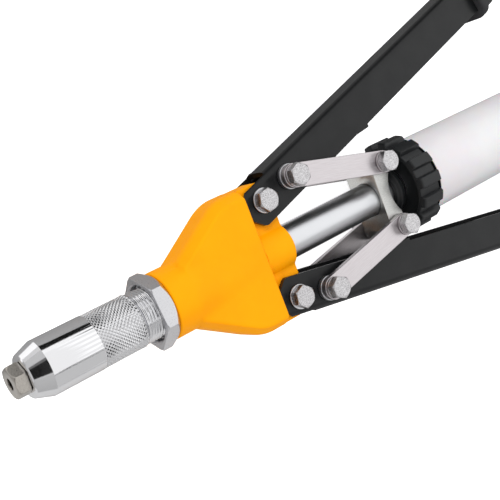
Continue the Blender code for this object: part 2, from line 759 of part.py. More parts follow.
def washer(name, radius, z, thickness, place, parent):
    shape = ring(BOLT_HOLE_R, radius, z, z + thickness, SMALL_SIDES, "Z")
    solid(name, shape, ZINC, parent, place)


def add_shape(shape, other, place):
    """Copies another bmesh into this one, moved to a place."""
    copies = {vert: shape.verts.new(vert.co + Vector(place)) for vert in other.verts}
    for face in other.faces:
        shape.faces.new([copies[vert] for vert in face.verts])
    other.free()


# Links, crosshead and pull tube

def make_links(name, side, slope):
    """A front and a back link on one pin, with the bolt, washers and nut at the lever."""
    pin = empty(name + "_pin", (PIN_X, side * CROSS_PIN_Y, 0.0), -side * slope, crosshead_axis)
    far = (-LINK_PITCH, 0.0)
    outline = arc((0.0, 0.0), LINK_HALF_WIDTH, -90, 90, 10)
    outline += arc(far, LINK_HALF_WIDTH, 90, 270, 10)
    holes = bar(BOLT_HOLE_R, -CUT_REACH, CUT_REACH, SMALL_SIDES, "Z")
    add_shape(holes, bar(BOLT_HOLE_R, -CUT_REACH, CUT_REACH, SMALL_SIDES, "Z"), (*far, 0.0))
    cutter = tool(name + "_holes", holes, pin)
    top = LINK_Z + LINK_THICKNESS
    for where, low, high in (("front", LINK_Z, top), ("back", -top, -LINK_Z)):
        link = solid(name + "_" + where, prism(outline, low, high), ZINC, pin)
        boolean(link, cutter, "DIFFERENCE")
    lever_bolt = (*far, 0.0)
    bolt_stack(name, LINK_WASHER_Z, LINK_BOLT_LENGTH, lever_bolt, pin)
    back_z = -SPACER_Z - SPACER_THICKNESS
    for where, z in (("front", SPACER_Z), ("back", back_z)):
        spacer = name + "_spacer_" + where
        washer(spacer, SPACER_R, z, SPACER_THICKNESS, lever_bolt, pin)


def make_crosshead():
    """A milled bar with round lugs and a scooped back, bored for the pull tube."""
    waist = CROSS_X + CROSS_WAIST
    scoop = CROSS_SCOOP_R
    angle = math.degrees(math.asin(CROSS_SCOOP_Y / scoop))
    outline = arc((PIN_X, -CROSS_PIN_Y), LINK_HALF_WIDTH, 180, 360 + LUG_WRAP, 14)
    outline += arc((waist + scoop, 0.0), scoop, 180 + angle, 180 - angle, 8)
    outline += arc((PIN_X, CROSS_PIN_Y), LINK_HALF_WIDTH, -LUG_WRAP, 180, 14)
    shape = prism(outline, -CROSS_HALF_THICKNESS, CROSS_HALF_THICKNESS)
    crosshead = solid("crosshead", shape, STEEL, crosshead_axis)
    bore = bar(TUBE_R + ROUND_GAP, CROSS_X - CUT_MARGIN, CROSS_X + CUT_REACH, MEDIUM_SIDES)
    boolean(crosshead, tool("crosshead_bore", bore, crosshead_axis), "DIFFERENCE")
    bosses = bmesh.new()
    holes = bmesh.new()
    for side in (1, -1):
        place = (PIN_X, side * CROSS_PIN_Y, 0.0)
        add_shape(bosses, bar(LUG_BOSS_R, -CROSS_BOSS_Z, CROSS_BOSS_Z, SMALL_SIDES, "Z"), place)
        add_shape(holes, bar(BOLT_HOLE_R, -CUT_REACH, CUT_REACH, SMALL_SIDES, "Z"), place)
    boolean(crosshead, tool("lug_bosses", bosses, crosshead_axis), "UNION")
    boolean(crosshead, tool("lug_holes", holes, crosshead_axis), "DIFFERENCE")


def make_pull_tube():
    stem_end = TUBE_X + TUBE_STEM_LENGTH
    profile = (
        (TUBE_X, TUBE_BORE_R),
        (TUBE_X, TUBE_STEM_R),
        (stem_end, TUBE_STEM_R),
        (stem_end, TUBE_R),
        (TUBE_END_X, TUBE_R),
        (TUBE_END_X, TUBE_BORE_R),
    )
    solid("pull_tube", turned(profile, MEDIUM_SIDES), CHROME, crosshead_axis)


# Collector: hub, ribbed cap and bottle

def make_cap_hub():
    inside = TUBE_R + ROUND_GAP
    profile = (
        (HUB_X, inside),
        (HUB_X, HUB_FACE_R),
        (HUB_X + HUB_CHAMFER, HUB_R),
        (HUB_X + HUB_LENGTH, HUB_R),
        (HUB_X + HUB_LENGTH, inside),
    )
    solid("cap_hub", turned(profile, FINE_SIDES), BLACK_PLASTIC, crosshead_axis)


def rib_section(x, groove_r, rib_r):
    """One ribbed ring of the cap, with the middle of a rib straight down."""
    groove = CAP_GROOVE_SHARE
    slope = CAP_SLOPE_SHARE
    middle_of_rib = (1 + groove) / 2
    corners = ((0.0, groove_r), (groove / 2, groove_r), (groove, groove_r))
    corners += ((groove + slope, rib_r), (middle_of_rib, rib_r), (1 - slope, rib_r))
    points = []
    for rib in range(CAP_RIBS):
        for part, radius in corners:
            turns = (rib + part - middle_of_rib) / CAP_RIBS
            angle = 2 * math.pi * turns - math.pi / 2
            points.append((x, radius * math.cos(angle), radius * math.sin(angle)))
    return points


def make_collector_cap():
    flange_x = CAP_END_X - CAP_FLANGE_LENGTH
    sections = [
        rib_section(CAP_X, CAP_GROOVE_R - CAP_EDGE / 2, CAP_R - CAP_EDGE),
        rib_section(CAP_X + CAP_EDGE, CAP_GROOVE_R, CAP_R),
        rib_section(flange_x - CAP_RUNOUT, CAP_GROOVE_R, CAP_R),
        rib_section(flange_x, CAP_FLANGE_R, CAP_FLANGE_R + CAP_EDGE),
        rib_section(flange_x + CAP_EDGE / 2, CAP_FLANGE_R, CAP_FLANGE_R),
        rib_section(CAP_END_X, CAP_FLANGE_R, CAP_FLANGE_R),
    ]
    cap = solid("collector_cap", loft(sections), BLACK_PLASTIC, collector_axis)
    web_back = WEB_X + CAP_WEB
    hollow = turned((
        (CAP_X - CUT_MARGIN, 0.0),
        (CAP_X - CUT_MARGIN, CAP_RECESS_R),
        (WEB_X, CAP_RECESS_R),
        (WEB_X, TUBE_R + ROUND_GAP),
        (web_back, TUBE_R + ROUND_GAP),
        (web_back, BOTTLE_NECK_R + ROUND_GAP),
        (CAP_END_X + CUT_MARGIN, BOTTLE_NECK_R + ROUND_GAP),
        (CAP_END_X + CUT_MARGIN, 0.0),
    ), FINE_SIDES)
    boolean(cap, tool("cap_hollow", hollow, collector_axis), "DIFFERENCE")


def make_collector_bottle():
    end = BOTTLE_X + BOTTLE_LENGTH
    wall = BOTTLE_WALL
    outside = [(NECK_END_X, BOTTLE_NECK_R), (BOTTLE_X, BOTTLE_NECK_R)]
    outside += [(BOTTLE_X, BOTTLE_R - BOTTLE_EDGE), (BOTTLE_X + BOTTLE_EDGE, BOTTLE_R)]
    corner = (end - BOTTLE_END_ROUND, BOTTLE_R - BOTTLE_END_ROUND)
    outside += arc(corner, BOTTLE_END_ROUND, 90, 0, 4)
    outside += [(end, 0.0)]
    inside = [(end - wall, 0.0)]
    inside += arc(corner, BOTTLE_END_ROUND - wall, 0, 90, 4)
    inside += [(BOTTLE_X + 2 * wall, BOTTLE_R - wall)]
    inside += [(BOTTLE_X + wall, BOTTLE_NECK_R - wall), (NECK_END_X, BOTTLE_NECK_R - wall)]
    shape = turned(outside + inside, FINE_SIDES)
    solid("collector_bottle", shape, WHITE_PLASTIC, collector_axis)


# Jaw case, jaws, pusher and spring

def make_jaw_case():
    profile = (
        (CASE_FRONT, CASE_MOUTH_R),
        (CASE_FRONT, CASE_R - CASE_CHAMFER),
        (CASE_FRONT + CASE_CHAMFER, CASE_R),
        (CASE_END_X, CASE_R),
        (CASE_END_X, CASE_BORE_R),
        (CASE_CONE_END, CASE_BORE_R),
    )
    solid("jaw_case", turned(profile, MEDIUM_SIDES), HARD_STEEL, crosshead_axis)


def case_cone_radius(x):
    share = (x - CASE_FRONT) / (CASE_CONE_END - CASE_FRONT)
    return CASE_MOUTH_R + (CASE_BORE_R - CASE_MOUTH_R) * min(share, 1.0)


def make_jaws():
    """Three wedges that the case's cone closes on the mandrel."""
    steps = 6
    for number in range(3):
        middle = 2 * math.pi * number / 3 + math.pi / 2
        sections = []
        for x in (JAW_X, CASE_CONE_END, JAW_X + JAW_LENGTH):
            outer_r = case_cone_radius(x) - ROUND_GAP
            section = []
            for radius, order in ((outer_r, 1), (JAW_GRIP_R, -1)):
                half = math.pi / 3 - JAW_SPLIT / 2 / radius
                for k in range(steps + 1):
                    angle = middle + order * half * (2 * k / steps - 1)
                    section.append((x, radius * math.cos(angle), radius * math.sin(angle)))
            sections.append(section)
        solid("jaw_%d" % (number + 1), loft(sections), HARD_STEEL, jaw_axis)


def make_jaw_pusher():
    outside = CASE_BORE_R - ROUND_GAP
    end = PUSHER_X + PUSHER_LENGTH
    profile = (
        (PUSHER_X, PUSHER_BORE_R),
        (PUSHER_X, outside - CASE_CHAMFER),
        (PUSHER_X + CASE_CHAMFER, outside),
        (end, outside),
        (end, PUSHER_BORE_R),
    )
    solid("jaw_pusher", turned(profile, MEDIUM_SIDES), STEEL, jaw_axis)


def make_jaw_spring():
    """An open coil between the pusher and the front end of the pull tube."""
    per_turn = 10
    sides = 5
    steps = SPRING_TURNS * per_turn
    rise = SPRING_LENGTH - 2 * SPRING_WIRE_R
    sections = []
    for k in range(steps + 1):
        turn = 2 * math.pi * k / per_turn
        x = SPRING_X + SPRING_WIRE_R + rise * k / steps
        section = []
        for side in range(sides):
            around = 2 * math.pi * side / sides
            radius = SPRING_R + SPRING_WIRE_R * math.cos(around)
            along = x + SPRING_WIRE_R * math.sin(around)
            section.append((along, radius * math.cos(turn), radius * math.sin(turn)))
        sections.append(section)
    solid("jaw_spring", loft(sections), STEEL, crosshead_axis)


# The pieces that stay still

make_nosepiece()
make_nose_sleeve()
make_locknut()
make_body_casting()
for side, name in ((1, "upper_pivot"), (-1, "lower_pivot")):
    pivot_place = (PIVOT_X, side * PIVOT_Y, 0.0)
    bolt_stack(name, SPACER_Z, PIVOT_BOLT_LENGTH, pivot_place, tool_axis)

# The levers swing on the body's two pivots

upper_pivot = make_lever("upper_lever", 1, UPPER_ANGLE)
make_grip("upper_grip", 1, upper_pivot)
lower_pivot = make_lever("lower_lever", -1, LOWER_ANGLE)
make_grip("lower_grip", -1, lower_pivot)

# The crosshead slides along the axis and carries the tube, the jaw case and the hub

crosshead_axis = empty("crosshead_axis", parent=tool_axis)
make_crosshead()
make_pull_tube()
make_jaw_case()
make_jaw_spring()
make_cap_hub()
for side, name in ((1, "upper_pin"), (-1, "lower_pin")):
    pin_place = (PIN_X, side * CROSS_PIN_Y, 0.0)
    bolt_stack(name, LINK_WASHER_Z, LINK_BOLT_LENGTH, pin_place, crosshead_axis)

# The links swing on the crosshead's pins

make_links("upper_link", 1, UPPER_SLOPE)
make_links("lower_link", -1, LOWER_SLOPE)

# The collector unscrews about the tool's axis, and the jaws slide along it

collector_axis = empty("collector_axis", parent=crosshead_axis)
make_collector_cap()
make_collector_bottle()
jaw_axis = empty("jaw_axis", parent=crosshead_axis)
make_jaws()
make_jaw_pusher()


def stand_on_ground():
    """Moves the tool so that its box stands on Z = 0, centred on the origin."""
    bpy.context.view_layer.update()
    graph = bpy.context.evaluated_depsgraph_get()
    low = [math.inf] * 3
    high = [-math.inf] * 3
    for piece in bpy.data.objects:
        if piece.type != "MESH" or piece.hide_render:
            continue
        shown = piece.evaluated_get(graph)
        for vert in shown.data.vertices:
            point = shown.matrix_world @ vert.co
            for i in range(3):
                low[i] = min(low[i], point[i])
                high[i] = max(high[i], point[i])
    tool_axis.location = (-(low[0] + high[0]) / 2, -(low[1] + high[1]) / 2, -low[2])


stand_on_ground()
print("tool axis stands at", tuple(round(value, 7) for value in tool_axis.location))
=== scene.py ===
# %% [markdown]
# # Dressing a lever hand riveter
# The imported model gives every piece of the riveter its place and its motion. This script adds
# what the eye wants: rolled edges, a knurl that a thumb would feel, threads, castings that run
# softly from one form into the next, and finishes that behave like chrome, zinc, paint and rubber.
# Each step below says what the real piece is before it is made.

import json
import math

import bmesh
import bpy
import numpy as np
from mathutils import Matrix, Vector


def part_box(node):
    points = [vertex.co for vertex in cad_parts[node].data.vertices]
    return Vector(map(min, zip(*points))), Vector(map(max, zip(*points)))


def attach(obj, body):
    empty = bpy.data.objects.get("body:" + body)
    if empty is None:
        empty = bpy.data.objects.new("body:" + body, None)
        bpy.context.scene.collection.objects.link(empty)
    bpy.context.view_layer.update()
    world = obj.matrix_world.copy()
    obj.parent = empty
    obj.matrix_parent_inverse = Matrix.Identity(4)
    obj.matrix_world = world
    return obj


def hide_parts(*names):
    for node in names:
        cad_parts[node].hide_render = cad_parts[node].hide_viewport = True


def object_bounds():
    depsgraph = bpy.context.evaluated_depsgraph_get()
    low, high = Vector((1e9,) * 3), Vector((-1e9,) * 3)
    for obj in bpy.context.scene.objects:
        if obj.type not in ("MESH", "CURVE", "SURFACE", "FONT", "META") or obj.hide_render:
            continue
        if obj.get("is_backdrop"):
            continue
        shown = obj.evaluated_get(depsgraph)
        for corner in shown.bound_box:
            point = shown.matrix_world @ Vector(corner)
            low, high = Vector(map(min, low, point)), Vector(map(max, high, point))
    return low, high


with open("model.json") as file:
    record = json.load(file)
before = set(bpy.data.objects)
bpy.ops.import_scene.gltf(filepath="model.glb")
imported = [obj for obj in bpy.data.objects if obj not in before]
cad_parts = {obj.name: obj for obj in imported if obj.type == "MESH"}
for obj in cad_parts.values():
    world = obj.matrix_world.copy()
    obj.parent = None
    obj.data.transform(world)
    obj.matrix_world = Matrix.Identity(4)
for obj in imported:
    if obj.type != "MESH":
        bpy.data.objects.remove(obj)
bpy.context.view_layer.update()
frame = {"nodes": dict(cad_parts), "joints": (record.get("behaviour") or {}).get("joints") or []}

# %% [markdown]
# ## One frame for everything
# A tool like this is drawn from its own axis. All sizes below are millimetres, X runs back from
# the front face of the nosepiece, and Y = Z = 0 is the middle of the pull tube. The nosepiece
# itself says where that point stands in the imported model.

# %% The tool's own frame
MM = 0.001
nose_low, nose_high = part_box("nosepiece")
middle = (nose_low + nose_high) / 2
TOOL = Matrix.Translation((nose_low.x, middle.y, middle.z))


def reach(node):
    """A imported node's lowest and highest corner, in millimetres in the tool's frame."""
    low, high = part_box(node)
    return (low - TOOL.translation) / MM, (high - TOOL.translation) / MM


def joint_place(name):
    """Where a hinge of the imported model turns, in millimetres in the tool's frame."""
    place = next(joint["pos_m"] for joint in frame["joints"] if joint["name"] == name)
    return (Vector(place) - TOOL.translation) / MM


print("nosepiece ends at", round(reach("nosepiece")[1].x, 2), "mm")

# %% [markdown]
# ## The camera
# The photograph is a close three-quarter view from above. The eye's place and its two directions
# were solved from round things in the picture (sleeve, tube, cap) whose sizes are known, so the
# camera is stated the same way: where it is, which way is right and which way is up.

# %% Camera
EYE = Vector((-93.26, 74.37, 353.20))
RIGHT = Vector((0.76044, -0.35373, 0.54462))
UP = Vector((0.38590, 0.92064, 0.05914))
FOCAL_PIXELS = 900
PICTURE_PIXELS = 500
camera_data = bpy.data.cameras.new("photo_camera")
camera = bpy.data.objects.new("photo_camera", camera_data)
bpy.context.scene.collection.objects.link(camera)
camera_data.lens = camera_data.sensor_width * FOCAL_PIXELS / PICTURE_PIXELS
camera_data.clip_start = 0.01
turn = Matrix((RIGHT, UP, RIGHT.cross(UP))).transposed().to_4x4()
camera.matrix_world = TOOL @ Matrix.Translation(EYE * MM) @ turn
bpy.context.scene.camera = camera
print("lens", round(camera_data.lens, 1), "mm")

# %% [markdown]
# ## Helpers for shapes
# Nearly every piece here is turned, pressed or milled, so four makers are enough: a skin over
# rows of points, a turned profile, a flat plate with an outline, and a Boolean cut. Sharp
# corners never exist on real metal, so a bevel and weighted normals finish most of them.

# %% Skins and turned forms
def raw_piece(name, points, faces):
    """An object from points in millimetres, with its faces made to point out."""
    mesh = bpy.data.meshes.new(name)
    mesh.from_pydata([tuple(point) for point in np.asarray(points) * MM], [], faces)
    shape = bmesh.new()
    shape.from_mesh(mesh)
    bmesh.ops.remove_doubles(shape, verts=shape.verts, dist=1e-7)
    bmesh.ops.recalc_face_normals(shape, faces=shape.faces)
    shape.to_mesh(mesh)
    shape.free()
    made = bpy.data.objects.new(name, mesh)
    bpy.context.scene.collection.objects.link(made)
    return made


def skin(name, rows, ring=False):
    """Covers rows of points. Each row closes on itself; ring joins the last row to the first."""
    rows = np.asarray(rows, float)
    count, width = rows.shape[:2]
    faces = []
    for i in range(count if ring else count - 1):
        here, there = i * width, (i + 1) % count * width
        for k in range(width):
            after = (k + 1) % width
            faces.append((here + k, here + after, there + after, there + k))
    if not ring:
        faces += [tuple(range(width)), tuple(range((count - 1) * width, count * width))]
    return raw_piece(name, rows.reshape(-1, 3), faces)


def circle_rows(profile, sides, axis="X", phase=0.0):
    """Rows of points round an axis for a profile of (along, radius)."""
    angles = phase + 2 * math.pi * np.arange(sides) / sides
    rows = []
    for along, radius in profile:
        around = np.stack([radius * np.cos(angles), radius * np.sin(angles)], 1)
        column = np.full((sides, 1), float(along))
        rows.append(np.hstack([column, around] if axis == "X" else [around, column]))
    return rows


def turned(name, profile, sides=96, axis="X", ring=True):
    return skin(name, circle_rows(profile, sides, axis), ring)


# %% Rounded corners
def eased(points, closed=True, steps=4):
    """Rounds a polyline's corners. A point's third number is the radius of its corner."""
    result = []
    count = len(points)
    for i, point in enumerate(points):
        here = Vector(point[:2])
        if len(point) == 2 or (not closed and i in (0, count - 1)):
            result.append(tuple(here))
            continue
        before = Vector(points[i - 1][:2]) - here
        after = Vector(points[(i + 1) % count][:2]) - here
        half = before.angle(after) / 2
        along = min(point[2] / math.tan(half), 0.49 * before.length, 0.49 * after.length)
        radius = along * math.tan(half)
        bisector = (before.normalized() + after.normalized()).normalized()
        center = here + bisector * radius / math.sin(half)
        first = here + before.normalized() * along - center
        sweep = first.angle_signed(here + after.normalized() * along - center)
        for k in range(steps + 1):
            result.append(tuple(center + Matrix.Rotation(-sweep * k / steps, 2) @ first))
    return result


def arc(center, radius, start, end, steps):
    """Points of an arc between two angles in degrees."""
    angles = [math.radians(start + (end - start) * k / steps) for k in range(steps + 1)]
    return [(center[0] + radius * math.cos(a), center[1] + radius * math.sin(a)) for a in angles]


# %% Plates, cuts and edges
def plate(name, outline, low, high):
    """A flat plate: an outline of (x, y) between two heights."""
    return skin(name, [[(x, y, z) for x, y in outline] for z in (low, high)])


def bake(piece):
    """Applies a piece's modifiers."""
    graph = bpy.context.evaluated_depsgraph_get()
    mesh = bpy.data.meshes.new_from_object(piece.evaluated_get(graph))
    piece.modifiers.clear()
    old = piece.data
    piece.data = mesh
    mesh.name = piece.name
    bpy.data.meshes.remove(old)
    return piece


def combine(piece, helpers, operation="DIFFERENCE"):
    """Cuts helpers out of a piece, joins them to it or keeps what they share, and drops them."""
    for helper in helpers:
        step = piece.modifiers.new("combine", "BOOLEAN")
        step.operation = operation
        step.object = helper
        step.solver = "EXACT"
    bake(piece)
    for helper in helpers:
        bpy.data.objects.remove(helper)
    return piece


def edged(piece, width, segments=3, angle=35):
    """Bevels every edge sharper than an angle, and keeps flat faces looking flat."""
    step = piece.modifiers.new("edges", "BEVEL")
    step.width = width * MM
    step.segments = segments
    step.limit_method = "ANGLE"
    step.angle_limit = math.radians(angle)
    step.use_clamp_overlap = True
    piece.modifiers.new("flat faces", "WEIGHTED_NORMAL").weight = 80
    smooth(piece, 180)
    return bake(piece)


CUT_REACH = 40.0


def rod(name, low, high, radius, sides, axis="Z"):
    """A plain round bar between two places along an axis."""
    profile = [(low, 0), (low, radius), (high, radius), (high, 0)]
    return turned(name, profile, sides, axis, ring=False)


def drill_bit(radius):
    """A round cutter along Z that is longer than anything it cuts."""
    return rod("drill_bit", -CUT_REACH, CUT_REACH, radius, 48)


def smooth(piece, angle=40):
    piece.data.shade_smooth()
    if angle < 180:
        piece.data.set_sharp_from_angle(angle=math.radians(angle))
    return piece


# %% [markdown]
# ## Putting a piece on its body
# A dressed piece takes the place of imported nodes: it rides on the same body, so it moves when
# they would, and the nodes are hidden. A local frame keeps each piece's own X along its length,
# so that brushed lines and grain follow the piece and not the room.

# %% Dress
dressed = []


def dress(piece, finish, slot, body, *nodes, at=Matrix.Identity(4)):
    """Places a piece by a matrix in millimetres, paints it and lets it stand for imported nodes."""
    place = at.copy()
    place.translation = at.translation * MM
    piece.matrix_world = TOOL @ place
    piece.data.materials.clear()
    piece.data.materials.append(finish)
    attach(piece, body)
    if nodes:
        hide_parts(*nodes)
    dressed.append(piece.name)
    print(piece.name, "rides on", body)
    return piece


# %% [markdown]
# ## Finishes
# Real finishes are never one number. Plating has fine grain or turning marks, paint has a faint
# orange peel, moulded plastic has a spark-eroded texture. Each finish below is a Principled
# shader with noise that moves its roughness, its colour and its bumps a little. What is the same
# all over is set on the shader itself.

# %% Node helpers
def new_finish(name, color, roughness, metallic=0.0, **sockets):
    made = bpy.data.materials.new(name)
    made.use_nodes = True
    shader = made.node_tree.nodes["Principled BSDF"]
    shader.inputs["Base Color"].default_value = (*color, 1.0)
    shader.inputs["Roughness"].default_value = roughness
    shader.inputs["Metallic"].default_value = metallic
    for socket, value in sockets.items():
        shader.inputs[socket.replace("_", " ")].default_value = value
    return made


def node(finish, kind, **settings):
    made = finish.node_tree.nodes.new(kind)
    for key, value in settings.items():
        if key in made.inputs:
            made.inputs[key].default_value = value
        else:
            setattr(made, key, value)
    return made


def wire(finish, source, output, target, socket):
    finish.node_tree.links.new(source.outputs[output], target.inputs[socket])


def noise(finish, scale, stretch=(1, 1, 1), detail=3.0):
    """Noise over the piece's own axes; scale is in features per metre."""
    place = node(finish, "ShaderNodeTexCoord")
    mapping = node(finish, "ShaderNodeMapping")
    mapping.inputs["Scale"].default_value = stretch
    field = node(finish, "ShaderNodeTexNoise", Scale=scale, Detail=detail)
    wire(finish, place, "Object", mapping, "Vector")
    wire(finish, mapping, "Vector", field, "Vector")
    return field


def vary_roughness(finish, field, low, high):
    shader = finish.node_tree.nodes["Principled BSDF"]
    spread = node(finish, "ShaderNodeMapRange")
    spread.inputs["From Min"].default_value = 0.3
    spread.inputs["From Max"].default_value = 0.7
    spread.inputs["To Min"].default_value = low
    spread.inputs["To Max"].default_value = high
    wire(finish, field, "Fac", spread, "Value")
    wire(finish, spread, "Result", shader, "Roughness")


def vary_color(finish, field, dark, light):
    shader = finish.node_tree.nodes["Principled BSDF"]
    ramp = node(finish, "ShaderNodeValToRGB")
    ramp.color_ramp.elements[0].position = 0.35
    ramp.color_ramp.elements[1].position = 0.65
    ramp.color_ramp.elements[0].color = (*dark, 1.0)
    ramp.color_ramp.elements[1].color = (*light, 1.0)
    wire(finish, field, "Fac", ramp, "Fac")
    wire(finish, ramp, "Color", shader, "Base Color")


def bump(finish, field, height, strength=1.0):
    """Turns a field into relief; height is in millimetres."""
    shader = finish.node_tree.nodes["Principled BSDF"]
    relief = node(finish, "ShaderNodeBump", Strength=strength, Distance=height * MM)
    wire(finish, field, "Fac", relief, "Height")
    wire(finish, relief, "Normal", shader, "Normal")


# %% [markdown]
# ### Plated and bare metals
# Bright chrome still carries the turning marks of the lathe, rings so fine that they only soften
# a reflection. Zinc plate is duller and grainy. Stretching the noise makes the marks: long across
# X, it gives rings round the tool, and long along X, the brushed lines of the links.

# %% Metals
TURNED = (1, 0.02, 0.02)
BRUSHED = (0.03, 1, 1)
chrome = new_finish("chrome_plate", (0.84, 0.84, 0.855), 0.10, 1.0)
rings = noise(chrome, 6000, TURNED, 2.0)
vary_roughness(chrome, rings, 0.07, 0.15)
bump(chrome, rings, 0.002, 0.4)

tube_chrome = new_finish("tube_chrome", (0.74, 0.75, 0.77), 0.34, 1.0)
rings = noise(tube_chrome, 7000, TURNED, 2.0)
vary_roughness(tube_chrome, rings, 0.30, 0.38)
bump(tube_chrome, rings, 0.002, 0.5)

nickel = new_finish("satin_nickel", (0.50, 0.47, 0.43), 0.3, 1.0)
grain = noise(nickel, 3500, (1, 1, 1), 4.0)
vary_roughness(nickel, grain, 0.24, 0.38)
vary_color(nickel, grain, (0.46, 0.43, 0.39), (0.56, 0.53, 0.49))
bump(nickel, grain, 0.004, 0.5)

zinc = new_finish("zinc_plate", (0.70, 0.70, 0.72), 0.30, 1.0)
grain = noise(zinc, 2600, (1, 1, 1), 4.0)
vary_roughness(zinc, grain, 0.26, 0.36)
vary_color(zinc, grain, (0.66, 0.66, 0.68), (0.74, 0.74, 0.76))
bump(zinc, grain, 0.004, 0.5)

bolt_zinc = new_finish("dull_zinc_plate", (0.56, 0.55, 0.56), 0.32, 1.0)
grain = noise(bolt_zinc, 1800, (1, 1, 1), 6.0)
vary_roughness(bolt_zinc, grain, 0.26, 0.44)
vary_color(bolt_zinc, grain, (0.40, 0.39, 0.40), (0.74, 0.73, 0.74))
bump(bolt_zinc, grain, 0.012, 0.7)

link_zinc = new_finish("brushed_zinc", (0.64, 0.60, 0.615), 0.34, 1.0)
grain = noise(link_zinc, 5000, BRUSHED, 4.0)
vary_roughness(link_zinc, grain, 0.28, 0.40)
vary_color(link_zinc, grain, (0.59, 0.55, 0.565), (0.69, 0.655, 0.67))
bump(link_zinc, grain, 0.004, 0.5)

milled = new_finish("milled_steel", (0.66, 0.66, 0.64), 0.34, 1.0)
grain = noise(milled, 3500, (0.15, 1, 1), 4.0)
vary_roughness(milled, grain, 0.28, 0.42)
vary_color(milled, grain, (0.58, 0.58, 0.56), (0.74, 0.74, 0.72))
bump(milled, grain, 0.006, 0.5)

hard_steel = new_finish("hardened_steel", (0.22, 0.22, 0.23), 0.4, 1.0)
grain = noise(hard_steel, 2500, (1, 1, 1), 4.0)
vary_roughness(hard_steel, grain, 0.34, 0.5)
bump(hard_steel, grain, 0.005, 0.4)

bright_steel = new_finish("bright_steel", (0.55, 0.55, 0.55), 0.3, 1.0)
grain = noise(bright_steel, 3000, (1, 1, 1), 3.0)
vary_roughness(bright_steel, grain, 0.24, 0.36)
bump(bright_steel, grain, 0.004, 0.4)
print("metals ready")

# %% [markdown]
# ### Paint, plastic and rubber
# The yellow is a thick enamel on a casting: saturated, half glossy, with a faint orange peel.
# The levers wear a satin black. The bottle is blown plastic, milky enough to glow a little.

# %% Paints and plastics
yellow = new_finish("yellow_enamel", (1.0, 0.40, 0.0), 0.5, 0.0, Specular_IOR_Level=0.1)
peel = noise(yellow, 420, (1, 1, 1), 3.0)
vary_roughness(yellow, peel, 0.42, 0.55)
vary_color(yellow, noise(yellow, 60), (1.0, 0.36, 0.0), (1.0, 0.385, 0.0))
bump(yellow, peel, 0.03, 0.35)

black_paint = new_finish(
    "satin_black_paint", (0.006, 0.0065, 0.007), 0.3, 0.0, Specular_IOR_Level=0.32,
)
peel = noise(black_paint, 1400, (1, 1, 1), 4.0)
vary_roughness(black_paint, peel, 0.28, 0.38)
vary_color(black_paint, noise(black_paint, 90), (0.005, 0.0055, 0.006), (0.008, 0.0085, 0.009))
bump(black_paint, peel, 0.015, 0.4)

black_plastic = new_finish("black_plastic", (0.010, 0.011, 0.012), 0.4, 0.0, Specular_IOR_Level=0.4)
grain = noise(black_plastic, 1600, (1, 1, 1), 5.0)
vary_roughness(black_plastic, grain, 0.34, 0.48)
vary_color(black_plastic, grain, (0.008, 0.009, 0.010), (0.014, 0.015, 0.016))
bump(black_plastic, grain, 0.02, 0.4)

bottle_plastic = new_finish(
    "milky_plastic", (0.74, 0.70, 0.72), 0.35, 0.0,
    Subsurface_Weight=0.3, Subsurface_Scale=0.004,
)
cloud = noise(bottle_plastic, 30)
vary_roughness(bottle_plastic, noise(bottle_plastic, 900), 0.3, 0.42)
vary_color(bottle_plastic, cloud, (0.73, 0.69, 0.71), (0.77, 0.75, 0.76))
bump(bottle_plastic, cloud, 0.1, 0.2)

rubber = new_finish("grip_rubber", (0.02, 0.02, 0.022), 0.7, 0.0)
grain = noise(rubber, 1200, (1, 1, 1), 5.0)
vary_roughness(rubber, grain, 0.6, 0.85)
vary_color(rubber, grain, (0.016, 0.016, 0.018), (0.028, 0.028, 0.030))
bump(rubber, grain, 0.03, 0.5)
print("paints and plastics ready")

# %% [markdown]
# ## The nosepiece
# A small hexagon that a spanner takes out when the rivet size changes. Its front is domed on the
# lathe before the flats are milled, so the dome meets each flat in an arc. Cutting a hexagon out
# of a turned blank, or the other way round, gives exactly that arc.

# %% Nosepiece
NOSE_AF = 13.0
NOSE_TURN = math.radians(8)
NOSE_FACE_R = 5.8
NOSE_DOME = 2.0
NOSE_SIDES = 120
NOSE_STEM_R = 4.9
NOSE_STEM_END = 14.0
NOSE_TIP_R = 4.2
NOSE_TIP_WALL = 0.9
NOSE_GAP = 0.25
NOSE_CHAMFER = 0.5
MANDREL_R = 2.6
SLEEVE_X = reach("nose_sleeve")[0].x
nose_end = reach("nosepiece")[1].x


def hex_radius(angle, across_flats):
    """How far a hexagon's side lies from its middle in a direction."""
    from_flat = (angle + math.pi / 6) % (math.pi / 3) - math.pi / 6
    return across_flats / 2 / np.cos(math.pi / 6 - np.abs(from_flat))


def hex_rows(sections, across_flats, sides=96, axis="X", phase=0.0):
    """Rows of a hexagonal bar, each cut back to a round limit: sections of (along, limit)."""
    angles = 2 * math.pi * np.arange(sides) / sides
    flats = hex_radius(angles, across_flats)
    rows = []
    for along, limit in sections:
        radius = np.minimum(flats, limit)
        around = np.stack([radius * np.cos(angles + phase), radius * np.sin(angles + phase)], 1)
        column = np.full((sides, 1), float(along))
        rows.append(np.hstack([column, around] if axis == "X" else [around, column]))
    return rows


def dome_sections(start, length, inner, outer, steps):
    """(along, limit) pairs of a dome that rises from an inner to an outer radius."""
    angles = [math.pi / 2 * k / steps for k in range(steps + 1)]
    rise = outer - inner
    return [(start + length * (1 - math.cos(a)), inner + rise * math.sin(a)) for a in angles]


